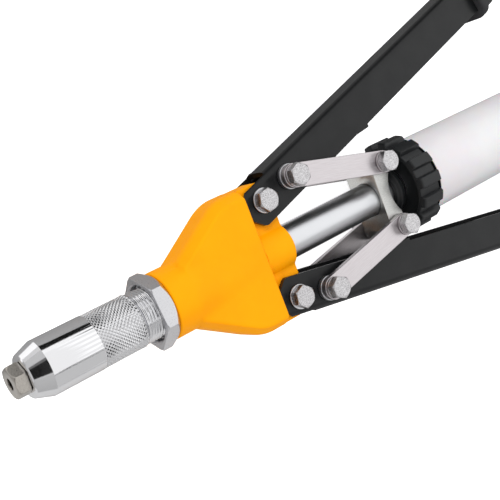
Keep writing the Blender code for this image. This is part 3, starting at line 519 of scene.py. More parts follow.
corner = NOSE_AF / 2 / math.cos(math.pi / 6)
back = SLEEVE_X - NOSE_GAP
stem = [(back, NOSE_STEM_R), (NOSE_STEM_END, NOSE_STEM_R), (NOSE_STEM_END, NOSE_TIP_R)]
stem += [(nose_end, NOSE_TIP_R), (nose_end, NOSE_TIP_R - NOSE_TIP_WALL)]
bore = [(1.4, 3.8), (1.2, MANDREL_R), (0.25, MANDREL_R), (0.0, MANDREL_R + 0.2)]
sections = dome_sections(0.0, NOSE_DOME, NOSE_FACE_R, corner, 10)
sections += [(back - NOSE_CHAMFER, corner), (back, corner - NOSE_CHAMFER)]
rows = hex_rows(sections, NOSE_AF, NOSE_SIDES, phase=NOSE_TURN)
rows += circle_rows(stem + bore, NOSE_SIDES, phase=NOSE_TURN)
nosepiece = edged(skin("nosepiece_domed", rows, ring=True), 0.12, 2)
dress(nosepiece, nickel, "satin_nickel", "body", "nosepiece")

# %% [markdown]
# ## The nose sleeve
# One turned bar: a cone, a smooth barrel, a knurled barrel to grip it by, and the fine thread
# that screws into the body. The knurl is rolled by two wheels whose ribs cross, which leaves
# small pyramids. Two slanted triangle waves do the same: the lower of the two is the surface.

# %% Sleeve forms
SLEEVE_R = 12.5
CONE_LENGTH = 8.05
SMOOTH_LENGTH = 23.25
KNURL_LENGTH = 21.6
KNURL_TEETH = 42
KNURL_DEPTH = 0.6
KNURL_FADE = 0.5
THREAD_R = 12.0
THREAD_PITCH = 1.5
THREAD_DEPTH = 0.75
THREAD_SHOWN = 16.0
SLEEVE_BORE_R = 9.2
SLEEVE_WALL_END = 15.0
STEM_HOLE_R = 5.2
SLEEVE_FACE_R = 9.2
SLEEVE_EDGE_R = 9.8
THREAD_BORE_R = 12.3
barrel_x = SLEEVE_X + CONE_LENGTH
knurl_x = barrel_x + SMOOTH_LENGTH
thread_x = knurl_x + KNURL_LENGTH
sleeve_end = reach("nose_sleeve")[1].x


def triangle(wave):
    """0 on whole numbers and 1 halfway between them."""
    return 1 - np.abs(2 * (wave - np.floor(wave)) - 1)


def knurl_rows(start, end, sides):
    angles = 2 * math.pi * np.arange(sides) / sides
    pitch = 2 * math.pi * SLEEVE_R / KNURL_TEETH
    count = int((end - start) / (pitch / 8))
    rows = []
    for along in np.linspace(start, end, count + 1):
        turns = KNURL_TEETH * angles / (2 * math.pi)
        lead = (along - start) / pitch
        height = np.minimum(triangle(turns + lead), triangle(turns - lead))
        edge = min(1.0, (along - start) / KNURL_FADE, (end - along) / KNURL_FADE)
        radius = SLEEVE_R - KNURL_DEPTH * (1 - height) * max(edge, 0.0)
        column = np.full(sides, along)
        rows.append(np.stack([column, radius * np.cos(angles), radius * np.sin(angles)], 1))
    return rows


def thread_rows(start, end, radius, depth, pitch, sides, axis="X"):
    """A helical thread that fades in and out over one pitch at its ends."""
    angles = 2 * math.pi * np.arange(sides) / sides
    rows = []
    for along in np.linspace(start, end, int((end - start) / pitch * 10) + 1):
        ridge = triangle(along / pitch + angles / (2 * math.pi))
        fade = max(0.0, min(1.0, (along - start) / pitch, (end - along) / pitch))
        crest = radius - depth * (1 - np.clip(ridge * 1.35 - 0.1, 0, 1)) * fade
        around = np.stack([crest * np.cos(angles), crest * np.sin(angles)], 1)
        column = np.full((sides, 1), along)
        rows.append(np.hstack([column, around] if axis == "X" else [around, column]))
    return rows


print("knurl from", round(knurl_x, 2), "to", round(thread_x, 2), "mm")

# %% Sleeve
KNURL_SIDES = KNURL_TEETH * 10
front = eased([
    (SLEEVE_WALL_END, SLEEVE_BORE_R), (SLEEVE_WALL_END, STEM_HOLE_R), (SLEEVE_X, STEM_HOLE_R),
    (SLEEVE_X, SLEEVE_FACE_R, 0.2), (SLEEVE_X + 0.6, SLEEVE_EDGE_R, 0.3),
    (barrel_x, SLEEVE_R, 0.3), (knurl_x, SLEEVE_R),
], closed=False)
rows = circle_rows(front, KNURL_SIDES)
rows += knurl_rows(knurl_x, thread_x - 0.6, KNURL_SIDES)
rows += circle_rows([(thread_x - 0.4, SLEEVE_R - 0.1), (thread_x, SLEEVE_R - 0.9)], KNURL_SIDES)
rows += circle_rows([(thread_x + 0.1, THREAD_R - THREAD_DEPTH)], KNURL_SIDES)
thread = (THREAD_R, THREAD_DEPTH, THREAD_PITCH, KNURL_SIDES)
rows += thread_rows(thread_x + 0.3, thread_x + THREAD_SHOWN, *thread)
rows += circle_rows([(sleeve_end, THREAD_R), (sleeve_end, SLEEVE_BORE_R)], KNURL_SIDES)
sleeve = smooth(skin("nose_sleeve_turned", rows, ring=True), 38)
dress(sleeve, chrome, "chrome", "body", "nose_sleeve")
print("sleeve has", len(sleeve.data.polygons), "faces")

# %% [markdown]
# ## The locknut
# A thin zinc-plated hexagon that jams the sleeve against the body. Its back corners are turned
# off, so each flat ends in a curve there, and its mouth is countersunk.

# %% Locknut
NUT_AF = 31.0
NUT_TURN = math.radians(-8.6)
NUT_CHAMFER = 2.6
nut_low, nut_high = reach("locknut")
nut_corner = NUT_AF / 2 / math.cos(math.pi / 6)
sections = [(nut_low.x, nut_corner - 0.9), (nut_low.x + 0.5, nut_corner)]
for k in range(9):
    share = k / 8
    limit = nut_corner - (nut_corner - NUT_AF / 2 + 0.3) * share
    sections.append((nut_high.x - NUT_CHAMFER * (1 - share), limit))
rows = hex_rows(sections, NUT_AF, 240, phase=NUT_TURN)
mouth = [(nut_high.x, THREAD_BORE_R), (nut_low.x + 4.0, THREAD_BORE_R), (nut_low.x + 3.6, 13.2)]
mouth += [(nut_low.x + 0.9, 13.3), (nut_low.x, 14.3)]
rows += circle_rows(mouth, 240, phase=NUT_TURN)
locknut = edged(skin("locknut_chamfered", rows, ring=True), 0.2, 2)
dress(locknut, zinc, "zinc_plate", "body", "locknut")

# %% [markdown]
# ## The body casting
# Seen along its axis, every slice of the casting can be drawn with one number per direction: how
# far the skin lies from the axis. The plate, its bevels, the dome, the ears and the boss are each
# such a function, and a soft maximum joins them with the fillets that a casting needs anyway.

# %% Body sizes
NECK_R = 16.0
NECK_LENGTH = 12.0
FLARE_LENGTH = 28.4
PLATE_LENGTH = 14.0
PLATE_HALF_WIDTH = 33.5
PLATE_HALF_THICKNESS = 12.0
BEVEL_WIDTH = 3.8
BEVEL_DEPTH = 5.0
SHOULDER_ROUND = 3.8
DOME_LENGTH = 29.0
DOME_BLEND = 3.0
FLANK_BLEND = 1.0
EAR_HALF_WIDTH = 33.2
EAR_HALF_THICKNESS = 6.1
EAR_CORNER_R = 6.0
BOSS_R = 11.5
BOSS_FILLET = 1.6
STEP_ROUND = 1.3
BODY_BORE_R = 9.2
HOLE_R = 3.3
body_low, body_high = reach("body_casting")
body_x = body_low.x
flare_x = body_x + NECK_LENGTH
step_x = flare_x + FLARE_LENGTH + PLATE_LENGTH
body_end_x = body_high.x


def soft_min(a, b, blend):
    """The smaller of two lengths, rounded over where they are nearly equal."""
    near = np.maximum(blend - np.abs(a - b), 0.0)
    return np.minimum(a, b) - near * near / blend / 4


def soft_max(a, b, blend):
    return -soft_min(-a, -b, blend)


def slab(angles, half_width, half_thickness, blend):
    """Radius of a flat bar's section in each direction."""
    side = np.maximum(np.abs(np.cos(angles)), 1e-6)
    top = np.maximum(np.abs(np.sin(angles)), 1e-6)
    return soft_min(half_width / side, half_thickness / top, blend)


def rounding(x, edge_x, radius):
    """How much a surface drops near a rounded edge."""
    near = np.clip((x - (edge_x - radius)) / radius, 0, 1)
    return radius * (1 - math.sqrt(1 - near * near))


def plate_radius(x, angles):
    slope = (PLATE_HALF_WIDTH - NECK_R) / FLARE_LENGTH
    width = soft_min(NECK_R + slope * (x - flare_x), PLATE_HALF_WIDTH, SHOULDER_ROUND)
    drop = rounding(x, step_x, STEP_ROUND)
    width = width - drop
    thickness = PLATE_HALF_THICKNESS - drop
    side = np.abs(np.cos(angles))
    top = np.abs(np.sin(angles))
    bar = slab(angles, width, thickness, 1.2)
    across = (width - BEVEL_WIDTH) * BEVEL_DEPTH + thickness * BEVEL_WIDTH
    bar = soft_min(bar, across / (side * BEVEL_DEPTH + top * BEVEL_WIDTH), 1.5)
    dome = NECK_R - (NECK_R - BOSS_R) / DOME_LENGTH * max(x - flare_x, 0.0) - drop
    return soft_max(bar, dome, FLANK_BLEND + (DOME_BLEND - FLANK_BLEND) * top)


def ear_radius(x, angles):
    back = max(x - (body_end_x - EAR_CORNER_R), 0.0)
    drop = rounding(x, body_end_x, 0.8)
    width = EAR_HALF_WIDTH - EAR_CORNER_R + math.sqrt(max(EAR_CORNER_R**2 - back * back, 0.0))
    width = max(width - drop, EAR_HALF_WIDTH - EAR_CORNER_R)
    bar = slab(angles, width, EAR_HALF_THICKNESS - drop, 0.8)
    return soft_max(bar, BOSS_R - drop, BOSS_FILLET)


print("body from", round(body_x, 2), "to", round(body_end_x, 2), "mm")
print("its step is at", round(step_x, 2), "mm")

# %% Body
BODY_SIDES = 480
FLATNESS = 0.4


def body_row(x, radius_at):
    """A slice of the casting. Its points crowd towards the ears, where the plate ends."""
    t = 2 * math.pi * (np.arange(BODY_SIDES) + 0.5) / BODY_SIDES
    angles = np.arctan2(FLATNESS * np.sin(t), np.cos(t))
    radius = radius_at(x, angles)
    return np.stack([np.full(BODY_SIDES, x), radius * np.cos(angles), radius * np.sin(angles)], 1)


def neck_row(x, radius):
    return body_row(x, lambda x, angles: np.full_like(angles, radius))


rows = [neck_row(body_x, NECK_R - 1.0)]
for k in range(5):
    drop = 1 - math.sin(math.pi / 2 * k / 4)
    rows.append(neck_row(body_x + 1 - math.cos(math.pi / 2 * k / 4), NECK_R - drop))
rows += [neck_row(x, NECK_R) for x in (body_x + 3, flare_x - 1)]
for x in np.linspace(flare_x, step_x - STEP_ROUND, 90):
    rows.append(body_row(x, plate_radius))
for k in range(1, 7):
    at = step_x - STEP_ROUND * (1 - math.sin(math.pi / 2 * k / 6))
    rows.append(body_row(at, plate_radius))
for x in np.linspace(step_x, body_end_x - EAR_CORNER_R, 12):
    rows.append(body_row(x, ear_radius))
for k in range(1, 25):
    at = body_end_x - EAR_CORNER_R * (1 - math.sin(math.pi / 2 * k / 24))
    rows.append(body_row(at, ear_radius))
casting = skin("body_casting_smooth", rows)
thread_end = sleeve_end + 0.3
bore = [
    (body_x - 1, 0.0), (body_x - 1, THREAD_BORE_R + 0.6), (body_x + 0.6, THREAD_BORE_R),
    (thread_end, THREAD_BORE_R), (thread_end, BODY_BORE_R), (body_end_x - 0.5, BODY_BORE_R),
    (body_end_x + 1, BODY_BORE_R + 1.5), (body_end_x + 1, 0.0),
]
holes = []
for joint in ("upper_lever_swing", "lower_lever_swing"):
    pivot = joint_place(joint)
    hole = drill_bit(HOLE_R)
    hole.matrix_world = Matrix.Translation(pivot * MM)
    holes.append(hole)
combine(casting, [turned("bore", bore, 96, ring=False), *holes])
smooth(casting, 50)
dress(casting, yellow, "yellow_paint", "body", "body_casting")
print("casting has", len(casting.data.polygons), "faces")

# %% [markdown]
# ## Fasteners
# All the bolts are M6 hexagon bolts with lock nuts. A forged head has its corners turned off at
# about thirty degrees on top. The washers are stamped and tumbled, which rounds their rims. Those
# of the links' bolts and pins are trimmed a little, so that the heads all but cover them. Every
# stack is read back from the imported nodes: where the bolt stands, how high its head sits, where
# its tip ends.

# %% Bolts, nuts and washers
HEX_AF = 10.0
HEAD_HEIGHT = 4.0
HEAD_CHAMFER = 0.6
HEAD_TOP_R = 4.85
BOLT_R = 3.0
BOLT_THREAD_LENGTH = 12.0
LOCK_NUT_HEX = 4.4
COLLAR_R = 4.3
HIDDEN_TRIM = 0.5


def node_center(name):
    low, high = reach(name)
    return (low + high) / 2


def bolt(name, head_turn):
    """A hexagon bolt that takes its place and length from a packed bolt."""
    low, high = reach(name)
    center = node_center(name)
    corner = HEX_AF / 2 / math.cos(math.pi / 6)
    base, top, tip = high.z - HEAD_HEIGHT, high.z, low.z
    head = [(base, corner - 0.4), (base + 0.3, corner)]
    for k in range(7):
        head.append((top - HEAD_CHAMFER * (1 - k / 6), corner - (corner - HEAD_TOP_R) * k / 6))
    head += [(top, HEAD_TOP_R - 0.3), (top - 0.02, 0.0)]
    shank = [(tip, 0.0), (tip, BOLT_R - 0.7), (tip + 0.6, BOLT_R - 0.1)]
    rows = circle_rows(shank, 96, "Z", head_turn)
    rows += thread_rows(tip + 0.6, tip + BOLT_THREAD_LENGTH, BOLT_R, 0.4, 1.0, 96, "Z")
    rows += circle_rows([(base, BOLT_R)], 96, "Z", head_turn)
    rows += hex_rows(head, HEX_AF, 96, "Z", head_turn)
    made = skin(name + "_forged", rows)
    smooth(made, 32)
    return made, Matrix.Translation((center.x, center.y, 0.0))


def washer(name, trim=0.0):
    low, high = reach(name)
    center = node_center(name)
    radius = (high.x - low.x) / 2 - trim
    profile = eased([
        (low.z, HOLE_R, 0.1), (low.z, radius, 0.25), (high.z, radius, 0.25), (high.z, HOLE_R, 0.1),
    ])
    made = smooth(turned(name + "_stamped", profile, 72, "Z"), 50)
    return made, Matrix.Translation((center.x, center.y, 0.0))


def lock_nut(name, turn_by):
    low, high = reach(name)
    center = node_center(name)
    corner = HEX_AF / 2 / math.cos(math.pi / 6)
    split = high.z - LOCK_NUT_HEX
    hexagon = [(high.z, 4.5), (high.z, 5.0), (high.z - 0.4, corner), (split + 0.7, corner)]
    hexagon += [(split + 0.7 * (1 - k / 4), corner - 0.9 * k / 4) for k in range(1, 5)]
    collar = [(split, COLLAR_R), (low.z, COLLAR_R, 0.7), (low.z, 3.6), (low.z + 0.8, 3.05)]
    collar = eased(collar, closed=False)
    rows = circle_rows([(high.z, HOLE_R)], 96, "Z", turn_by)
    rows += hex_rows(hexagon, HEX_AF, 96, "Z", turn_by)
    rows += circle_rows(collar, 96, "Z", turn_by)
    made = smooth(skin(name + "_forged", rows, ring=True), 32)
    return made, Matrix.Translation((center.x, center.y, 0.0))


# %% Every stack
STACKS = {
    "upper_pivot": ("body", 12), "lower_pivot": ("body", 21),
    "upper_pin": ("pulling_head", 47), "lower_pin": ("pulling_head", 40),
    "upper_link": ("upper_link_pair", 25), "lower_link": ("lower_link_pair", 35),
}
for stack, (body, degrees) in STACKS.items():
    made, place = bolt(stack + "_bolt", math.radians(degrees))
    dress(made, bolt_zinc, "zinc_plate", body, stack + "_bolt", at=place)
    made, place = lock_nut(stack + "_nut", math.radians(degrees + 10))
    dress(made, bolt_zinc, "zinc_plate", body, stack + "_nut", at=place)
    rings = ["_washer_front", "_washer_back"]
    if stack.endswith("link"):
        rings += ["_spacer_front", "_spacer_back"]
    for ring in rings:
        under_link_head = "washer" in ring and not stack.endswith("pivot")
        trim, finish = (HIDDEN_TRIM, link_zinc) if under_link_head else (0.0, zinc)
        made, place = washer(stack + ring, trim)
        dress(made, finish, "zinc_plate", body, stack + ring, at=place)
print(len(dressed), "pieces dressed so far")

# %% [markdown]
# ## Levers
# Each lever is one strip of sheet steel pressed into a channel: a web with two flanges, bent
# round a generous radius. The pivot end is rounded to clear the body, and the web starts with a
# shallow curved notch. The hole for the link's bolt is wide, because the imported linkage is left
# open there and the bolt wanders a little as the lever swings. The lever is drawn lying along its
# own u axis and then set at its angle.

# %% Lever sizes
UPPER_ANGLE = math.radians(17.2)
LOWER_ANGLE = math.radians(9.9)
INSIDE_Z = 6.35
OUTSIDE_Z = 8.85
SHEET = 2.5
WEB_V = 9.4
EDGE_V = -10.5
END_R = 10.0
BEND_R = 4.0
LEVER_LENGTH = 300.0
NOTCH_SIDE_U = 9.4
NOTCH_MIDDLE_U = 10.6
NOTCH_HALF_Z = 7.4
LINK_HOLE = (17.5, 0.15)
PLAY_HOLE_R = 4.5
NIB_U = 69.3
NIB_LENGTH = 7.0
NIB_HEIGHT = 1.4
LEVERS = (("upper", 1, UPPER_ANGLE), ("lower", -1, LOWER_ANGLE))
for name, side, angle in LEVERS:
    print("the", name, "lever stands at", round(math.degrees(angle), 1), "degrees")


# %% Lever
def channel(half_width, top, corner_r, steps):
    low = EDGE_V - END_R
    inner = half_width - corner_r
    points = [(low, -half_width)]
    points += [(y, -x) for x, y in arc((inner, top - corner_r), corner_r, 0, 90, steps)]
    points += [(y, x) for x, y in arc((inner, top - corner_r), corner_r, 90, 0, steps)]
    return points + [(low, half_width)]


def lever_place(name, side, angle):
    """The u axis of a lever: from its pivot, at its angle."""
    pivot = joint_place(name + "_lever_swing")
    return Matrix.Translation(pivot) @ Matrix.Rotation(side * angle, 4, "Z")


def lever(name, side):
    wall = channel(OUTSIDE_Z, WEB_V, BEND_R, 12)
    wall += channel(INSIDE_Z, WEB_V - SHEET, BEND_R - SHEET, 12)[::-1]
    ends = (-2 * END_R, LEVER_LENGTH + 1)
    strip = skin(name, [[(u, side * v, z) for v, z in wall] for u in ends])
    start = math.degrees(math.asin(WEB_V / END_R))
    nib_end = NIB_U + NIB_LENGTH
    nib_v = EDGE_V - NIB_HEIGHT
    outline = [(LEVER_LENGTH, WEB_V + 1), (LEVER_LENGTH, EDGE_V), (nib_end, EDGE_V, 0.3)]
    outline += [(nib_end - 0.2, nib_v, 0.4), (nib_end - 1.2, nib_v, 0.8)]
    outline += [(NIB_U - 2.5, EDGE_V, 0.8), (-5.8, EDGE_V, 3.0), (-10.3, -4.6, 3.5)]
    outline = eased(outline, closed=False) + arc((0, 0), END_R, 180, 180 - start, 16)
    outline.append((-3.0, WEB_V + 1))
    outline = [(u, side * v) for u, v in outline]
    combine(strip, [plate("outline", outline, -CUT_REACH, CUT_REACH)], "INTERSECT")
    depth = NOTCH_MIDDLE_U - NOTCH_SIDE_U
    curve_r = (NOTCH_HALF_Z**2 + depth**2) / (2 * depth)
    spread = math.degrees(math.asin(NOTCH_HALF_Z / curve_r))
    curve = arc((NOTCH_MIDDLE_U - curve_r, 0), curve_r, -spread, spread, 24)
    notch = [(-20, -NOTCH_HALF_Z), *curve, (-20, NOTCH_HALF_Z)]
    levels = (side * (WEB_V - BEND_R - 0.1), side * (WEB_V + 1))
    cutter = skin("notch", [[(x, level, z) for x, z in notch] for level in levels])
    pivot_hole = drill_bit(HOLE_R)
    play_hole = drill_bit(PLAY_HOLE_R)
    play_hole.location = Vector((LINK_HOLE[0], side * LINK_HOLE[1], 0)) * MM
    combine(strip, [cutter, pivot_hole, play_hole])
    return edged(strip, 0.35, 3, 40)


for name, side, angle in LEVERS:
    place = lever_place(name, side, angle)
    made = lever(name + "_lever_pressed", side)
    dress(made, black_paint, "black_paint", name + "_lever_arm", name + "_lever", at=place)

# %% [markdown]
# ## Grips
# The photograph ends before the levers do. Such levers carry long rubber sleeves with a rolled
# lip, a slight swell for the palm and shallow ribs all round, so that is what is made here.

# %% Grips
GRIP_LENGTH = 118.0
GRIP_WALL = 3.4
GRIP_BEAD = 1.6
GRIP_CORNER_R = 7.5
GRIP_RIB = 0.7
GRIP_SWELL = 0.8
GRIP_RIB_PITCH = 6.0
grip_start = LEVER_LENGTH + 4.0 - GRIP_LENGTH
grip_end = LEVER_LENGTH + 4.0


def rounded_rectangle(half_v, half_z, corner_r, steps):
    points = []
    for quarter, (sv, sz) in enumerate(((1, 1), (-1, 1), (-1, -1), (1, -1))):
        center = (sv * (half_v - corner_r), sz * (half_z - corner_r))
        points += arc(center, corner_r, 90 * quarter, 90 * quarter + 90, steps)
    return points


def grip_row(u, grow, side):
    half_v = (WEB_V - EDGE_V) / 2 + GRIP_WALL + grow
    half_z = OUTSIDE_Z + GRIP_WALL + grow
    outline = rounded_rectangle(half_v, half_z, min(GRIP_CORNER_R, GRIP_CORNER_R + grow), 10)
    return [(u, side * ((WEB_V + EDGE_V) / 2 + v), z) for v, z in outline]


def grip(name, side):
    sections = [(grip_start, GRIP_BEAD - 1.2), (grip_start + 0.4, GRIP_BEAD - 0.4)]
    sections += [(grip_start + 1.2, GRIP_BEAD), (grip_start + 5, GRIP_BEAD)]
    sections += [(grip_start + 6, GRIP_BEAD * 0.6), (grip_start + 7.5, 0.0)]
    ribs_start = grip_start + 14
    ribs_end = grip_end - 12
    for u in np.arange(ribs_start, ribs_end, 0.5):
        share = (u - ribs_start) / (ribs_end - ribs_start)
        wave = (0.5 - 0.5 * math.cos(2 * math.pi * (u - ribs_start) / GRIP_RIB_PITCH)) ** 0.6
        sections.append((u, GRIP_SWELL * math.sin(math.pi * share) - GRIP_RIB * wave))
    for k in range(8):
        angle = math.pi / 2 * k / 7
        sections.append((grip_end - 3 * (1 - math.sin(angle)), 3 * (math.cos(angle) - 1)))
    sleeve = skin(name, [grip_row(u, grow, side) for u, grow in sections])
    around = rounded_rectangle((WEB_V - EDGE_V) / 2 + 0.3, OUTSIDE_Z + 0.3, 0.3, 1)
    hollow = [(side * ((WEB_V + EDGE_V) / 2 + v), z) for v, z in around]
    ends = (grip_start - 1, LEVER_LENGTH + 0.25)
    combine(sleeve, [skin("hollow", [[(u, v, z) for v, z in hollow] for u in ends])])
    return smooth(sleeve, 40)


for name, side, angle in LEVERS:
    place = lever_place(name, side, angle)
    made = grip(name + "_grip_moulded", side)
    dress(made, rubber, "black_rubber", name + "_lever_arm", name + "_grip", at=place)

# %% [markdown]
# ## Links
# Four flat bars with round ends, stamped and zinc plated. The upper pair slopes a little more
# than the lower one, as each lever stands open at its own angle.

# %% Links
LINK_PITCH = 56.3
LINK_HALF_WIDTH = 5.8


def link_bar(name, low, high):
    far = (-LINK_PITCH, 0.0)
    outline = arc((0, 0), LINK_HALF_WIDTH, -90, 90, 28) + arc(far, LINK_HALF_WIDTH, 90, 270, 28)
    bar = plate(name, outline, low, high)
    drills = []
    for x in (0.0, -LINK_PITCH):
        drill = drill_bit(HOLE_R)
        drill.location = (x * MM, 0, 0)
        drills.append(drill)
    combine(bar, drills)
    return edged(bar, 0.3, 3, 40)


for name, side in (("upper", 1), ("lower", -1)):
    pin = joint_place(name + "_link_swing")
    lever_bolt = node_center(name + "_link_bolt")
    slope = math.atan2(pin.y - lever_bolt.y, pin.x - lever_bolt.x)
    place = Matrix.Translation((pin.x, pin.y, 0.0)) @ Matrix.Rotation(slope, 4, "Z")
    for where in ("front", "back"):
        node_name = name + "_link_" + where
        low, high = reach(node_name)
        made = link_bar(node_name + "_stamped", low.z, high.z)
        dress(made, link_zinc, "zinc_plate", name + "_link_pair", node_name, at=place)

# %% [markdown]
# ## Crosshead and pull tube
# The crosshead is milled from bar: round lugs with low bosses for the pins, a bore for the tube
# and a scooped back that leaves room for the cap. The tube is chromed and runs through the body
# to the jaws.

# %% Crosshead
WAIST = 6.8
SCOOP_R = 18.0
SCOOP_Y = 10.2
LUG_BOSS_R = 5.5
LUG_BOSS_Z = 11.5
CROSS_HALF_THICKNESS = 10.6
CROSS_BORE_R = 9.1
upper_pin = joint_place("upper_link_swing")
lower_pin = joint_place("lower_link_swing")
waist_x = upper_pin.x - LINK_HALF_WIDTH + WAIST
scoop_angle = math.degrees(math.asin(SCOOP_Y / SCOOP_R))
outline = arc((lower_pin.x, lower_pin.y), LINK_HALF_WIDTH, 180, 400, 40)
outline += arc((waist_x + SCOOP_R, 0.0), SCOOP_R, 180 + scoop_angle, 180 - scoop_angle, 32)
outline += arc((upper_pin.x, upper_pin.y), LINK_HALF_WIDTH, -40, 180, 40)
crosshead = plate("crosshead_milled", outline, -CROSS_HALF_THICKNESS, CROSS_HALF_THICKNESS)
bore = rod("bore", upper_pin.x - CUT_REACH, upper_pin.x + CUT_REACH, CROSS_BORE_R, 96, "X")
combine(crosshead, [bore])
bosses = []
drills = []
for pin in (upper_pin, lower_pin):
    place = Vector((pin.x, pin.y, 0.0)) * MM
    boss = rod("boss", -LUG_BOSS_Z, LUG_BOSS_Z, LUG_BOSS_R, 64)
    drill = drill_bit(HOLE_R)
    boss.location = place
    drill.location = place
    bosses.append(boss)
    drills.append(drill)
combine(crosshead, bosses, "UNION")
combine(crosshead, drills)
edged(crosshead, 0.25, 3, 40)
dress(crosshead, milled, "machined_steel", "pulling_head", "crosshead")

# %% Pull tube
tube_low, tube_high = reach("pull_tube")
TUBE_R = 8.8
TUBE_BORE_R = 4.5
SPIGOT_R = 7.1
spigot_end = tube_low.x + 6.3
profile = eased([
    (tube_low.x, TUBE_BORE_R, 0.3), (tube_low.x, SPIGOT_R, 0.4),
    (spigot_end, SPIGOT_R), (spigot_end, TUBE_R, 0.4),
    (tube_high.x, TUBE_R, 0.5), (tube_high.x, TUBE_BORE_R, 0.3),
])
tube = smooth(turned("pull_tube_chromed", profile, 128), 40)
dress(tube, tube_chrome, "chrome", "pulling_head", "pull_tube")

# %% [markdown]
# ## Hub, cap and bottle
# The hub is a black turned ring behind the crosshead. The cap has fourteen flat-topped ribs with
# rounded flanks; the grooves between them run out before a plain rear flange. The bottle is blown
# and only its shoulder and its round end are not a plain cylinder.

# %% Hub
HUB_FACE_R = 11.5
HUB_R = 13.0
HUB_BACK_R = 12.4
hub_low, hub_high = reach("cap_hub")
profile = eased([
    (hub_low.x, CROSS_BORE_R), (hub_low.x, 10.9, 0.3), (hub_low.x + 0.9, HUB_FACE_R, 0.3),
    (hub_low.x + 1.7, HUB_R, 0.5), (hub_low.x + 2.9, HUB_R, 0.4),
    (hub_low.x + 3.3, HUB_BACK_R, 0.3), (hub_high.x, HUB_BACK_R, 0.3), (hub_high.x, CROSS_BORE_R),
])
hub = smooth(turned("cap_hub_turned", profile, 128), 50)
dress(hub, black_plastic, "black_plastic", "pulling_head", "cap_hub")

# %% Cap
CAP_RIBS = 14
CAP_R = 25.0
CAP_GROOVE_R = 22.4
CAP_FLANGE_R = 21.7
CAP_FLANGE_LENGTH = 1.4
CAP_RUNOUT = 1.7
CAP_RECESS_R = 20.0
CAP_RECESS_DEPTH = 3.2
CAP_WEB = 3.4
CAP_BORE_R = 18.5
GROOVE_SHARE = 0.38
SLOPE_SHARE = 0.08
cap_low, cap_high = reach("collector_cap")
web_x = cap_low.x + CAP_RECESS_DEPTH
web_back = web_x + CAP_WEB
flange_x = cap_high.x - CAP_FLANGE_LENGTH
CAP_SIDES = CAP_RIBS * 36


def rib_row(x, groove_r, rib_r):
    """One ribbed ring of the cap, with the middle of a rib straight down."""
    share = (np.arange(CAP_SIDES) / CAP_SIDES * CAP_RIBS + (1 + GROOVE_SHARE) / 2) % 1.0
    climb = np.clip((share - GROOVE_SHARE) / SLOPE_SHARE, 0, 1)
    fall = np.clip((1 - share) / SLOPE_SHARE, 0, 1)
    rise = climb * fall
    rise = rise * rise * (3 - 2 * rise)
    radius = groove_r + (rib_r - groove_r) * rise
    angles = 2 * math.pi * np.arange(CAP_SIDES) / CAP_SIDES - math.pi / 2
    return np.stack([np.full(CAP_SIDES, x), radius * np.cos(angles), radius * np.sin(angles)], 1)


rows = []
for k in range(5):
    angle = math.pi / 2 * k / 4
    rows.append(rib_row(cap_low.x + 1 - math.cos(angle), CAP_GROOVE_R - 0.5 + 0.5 * math.sin(angle),
                        CAP_R - 1 + math.sin(angle)))
for x in np.linspace(cap_low.x + 2, flange_x - CAP_RUNOUT - 0.8, 6):
    rows.append(rib_row(x, CAP_GROOVE_R, CAP_R))
for k in range(6):
    share = k / 5
    rib_r = CAP_R - (CAP_R - CAP_GROOVE_R - 0.3) * share**1.6
    rows.append(rib_row(flange_x - CAP_RUNOUT * (1 - share), CAP_GROOVE_R - 1.4 * share, rib_r))
rows.append(rib_row(flange_x + 0.1, CAP_GROOVE_R, CAP_GROOVE_R))
inner = [
    (flange_x + 0.3, CAP_GROOVE_R - 0.3), (cap_high.x - 0.3, CAP_FLANGE_R),
    (cap_high.x, CAP_FLANGE_R - 0.3), (cap_high.x, CAP_BORE_R + 0.3),
    (cap_high.x - 0.3, CAP_BORE_R), (web_back, CAP_BORE_R), (web_back, CROSS_BORE_R),
    (web_x, CROSS_BORE_R), (web_x, 12.0), (web_x, CAP_RECESS_R - 0.8),
    (web_x - 0.8, CAP_RECESS_R), (cap_low.x + 0.4, CAP_RECESS_R), (cap_low.x, CAP_RECESS_R + 0.4),
]
rows += circle_rows(inner, CAP_SIDES, phase=-math.pi / 2)
cap = smooth(skin("collector_cap_ribbed", rows, ring=True), 35)
dress(cap, black_plastic, "black_plastic", "collector", "collector_cap")

# %% Bottle
BOTTLE_NECK_R = 18.2
BOTTLE_R = 20.8
BOTTLE_WALL = 1.6
bottle_low, bottle_high = reach("collector_bottle")
shoulder_x = cap_high.x + 0.25
END_ROUND = 6.0
outside = [
    (bottle_low.x, BOTTLE_NECK_R), (shoulder_x, BOTTLE_NECK_R), (shoulder_x, BOTTLE_R, 0.9),
    (bottle_high.x, BOTTLE_R, END_ROUND), (bottle_high.x, 0.0),
]
floor_x = bottle_high.x - BOTTLE_WALL
inside_r = BOTTLE_R - BOTTLE_WALL
inside_neck_r = BOTTLE_NECK_R - BOTTLE_WALL
inside = [
    (floor_x, 0.0), (floor_x, inside_r, END_ROUND - BOTTLE_WALL), (shoulder_x + 3.2, inside_r, 1.0),
    (shoulder_x + 1.6, inside_neck_r), (bottle_low.x, inside_neck_r),
]
profile = eased(outside, closed=False, steps=8) + eased(inside, closed=False, steps=8)
bottle = smooth(turned("collector_bottle_blown", profile, 128), 50)
dress(bottle, bottle_plastic, "white_plastic", "collector", "collector_bottle")

# %% [markdown]
# ## What stays inside
# The jaw case, the jaws, their pusher and the spring sit in the sleeve, out of sight. The packed
# shapes are right, so they only get their finishes.

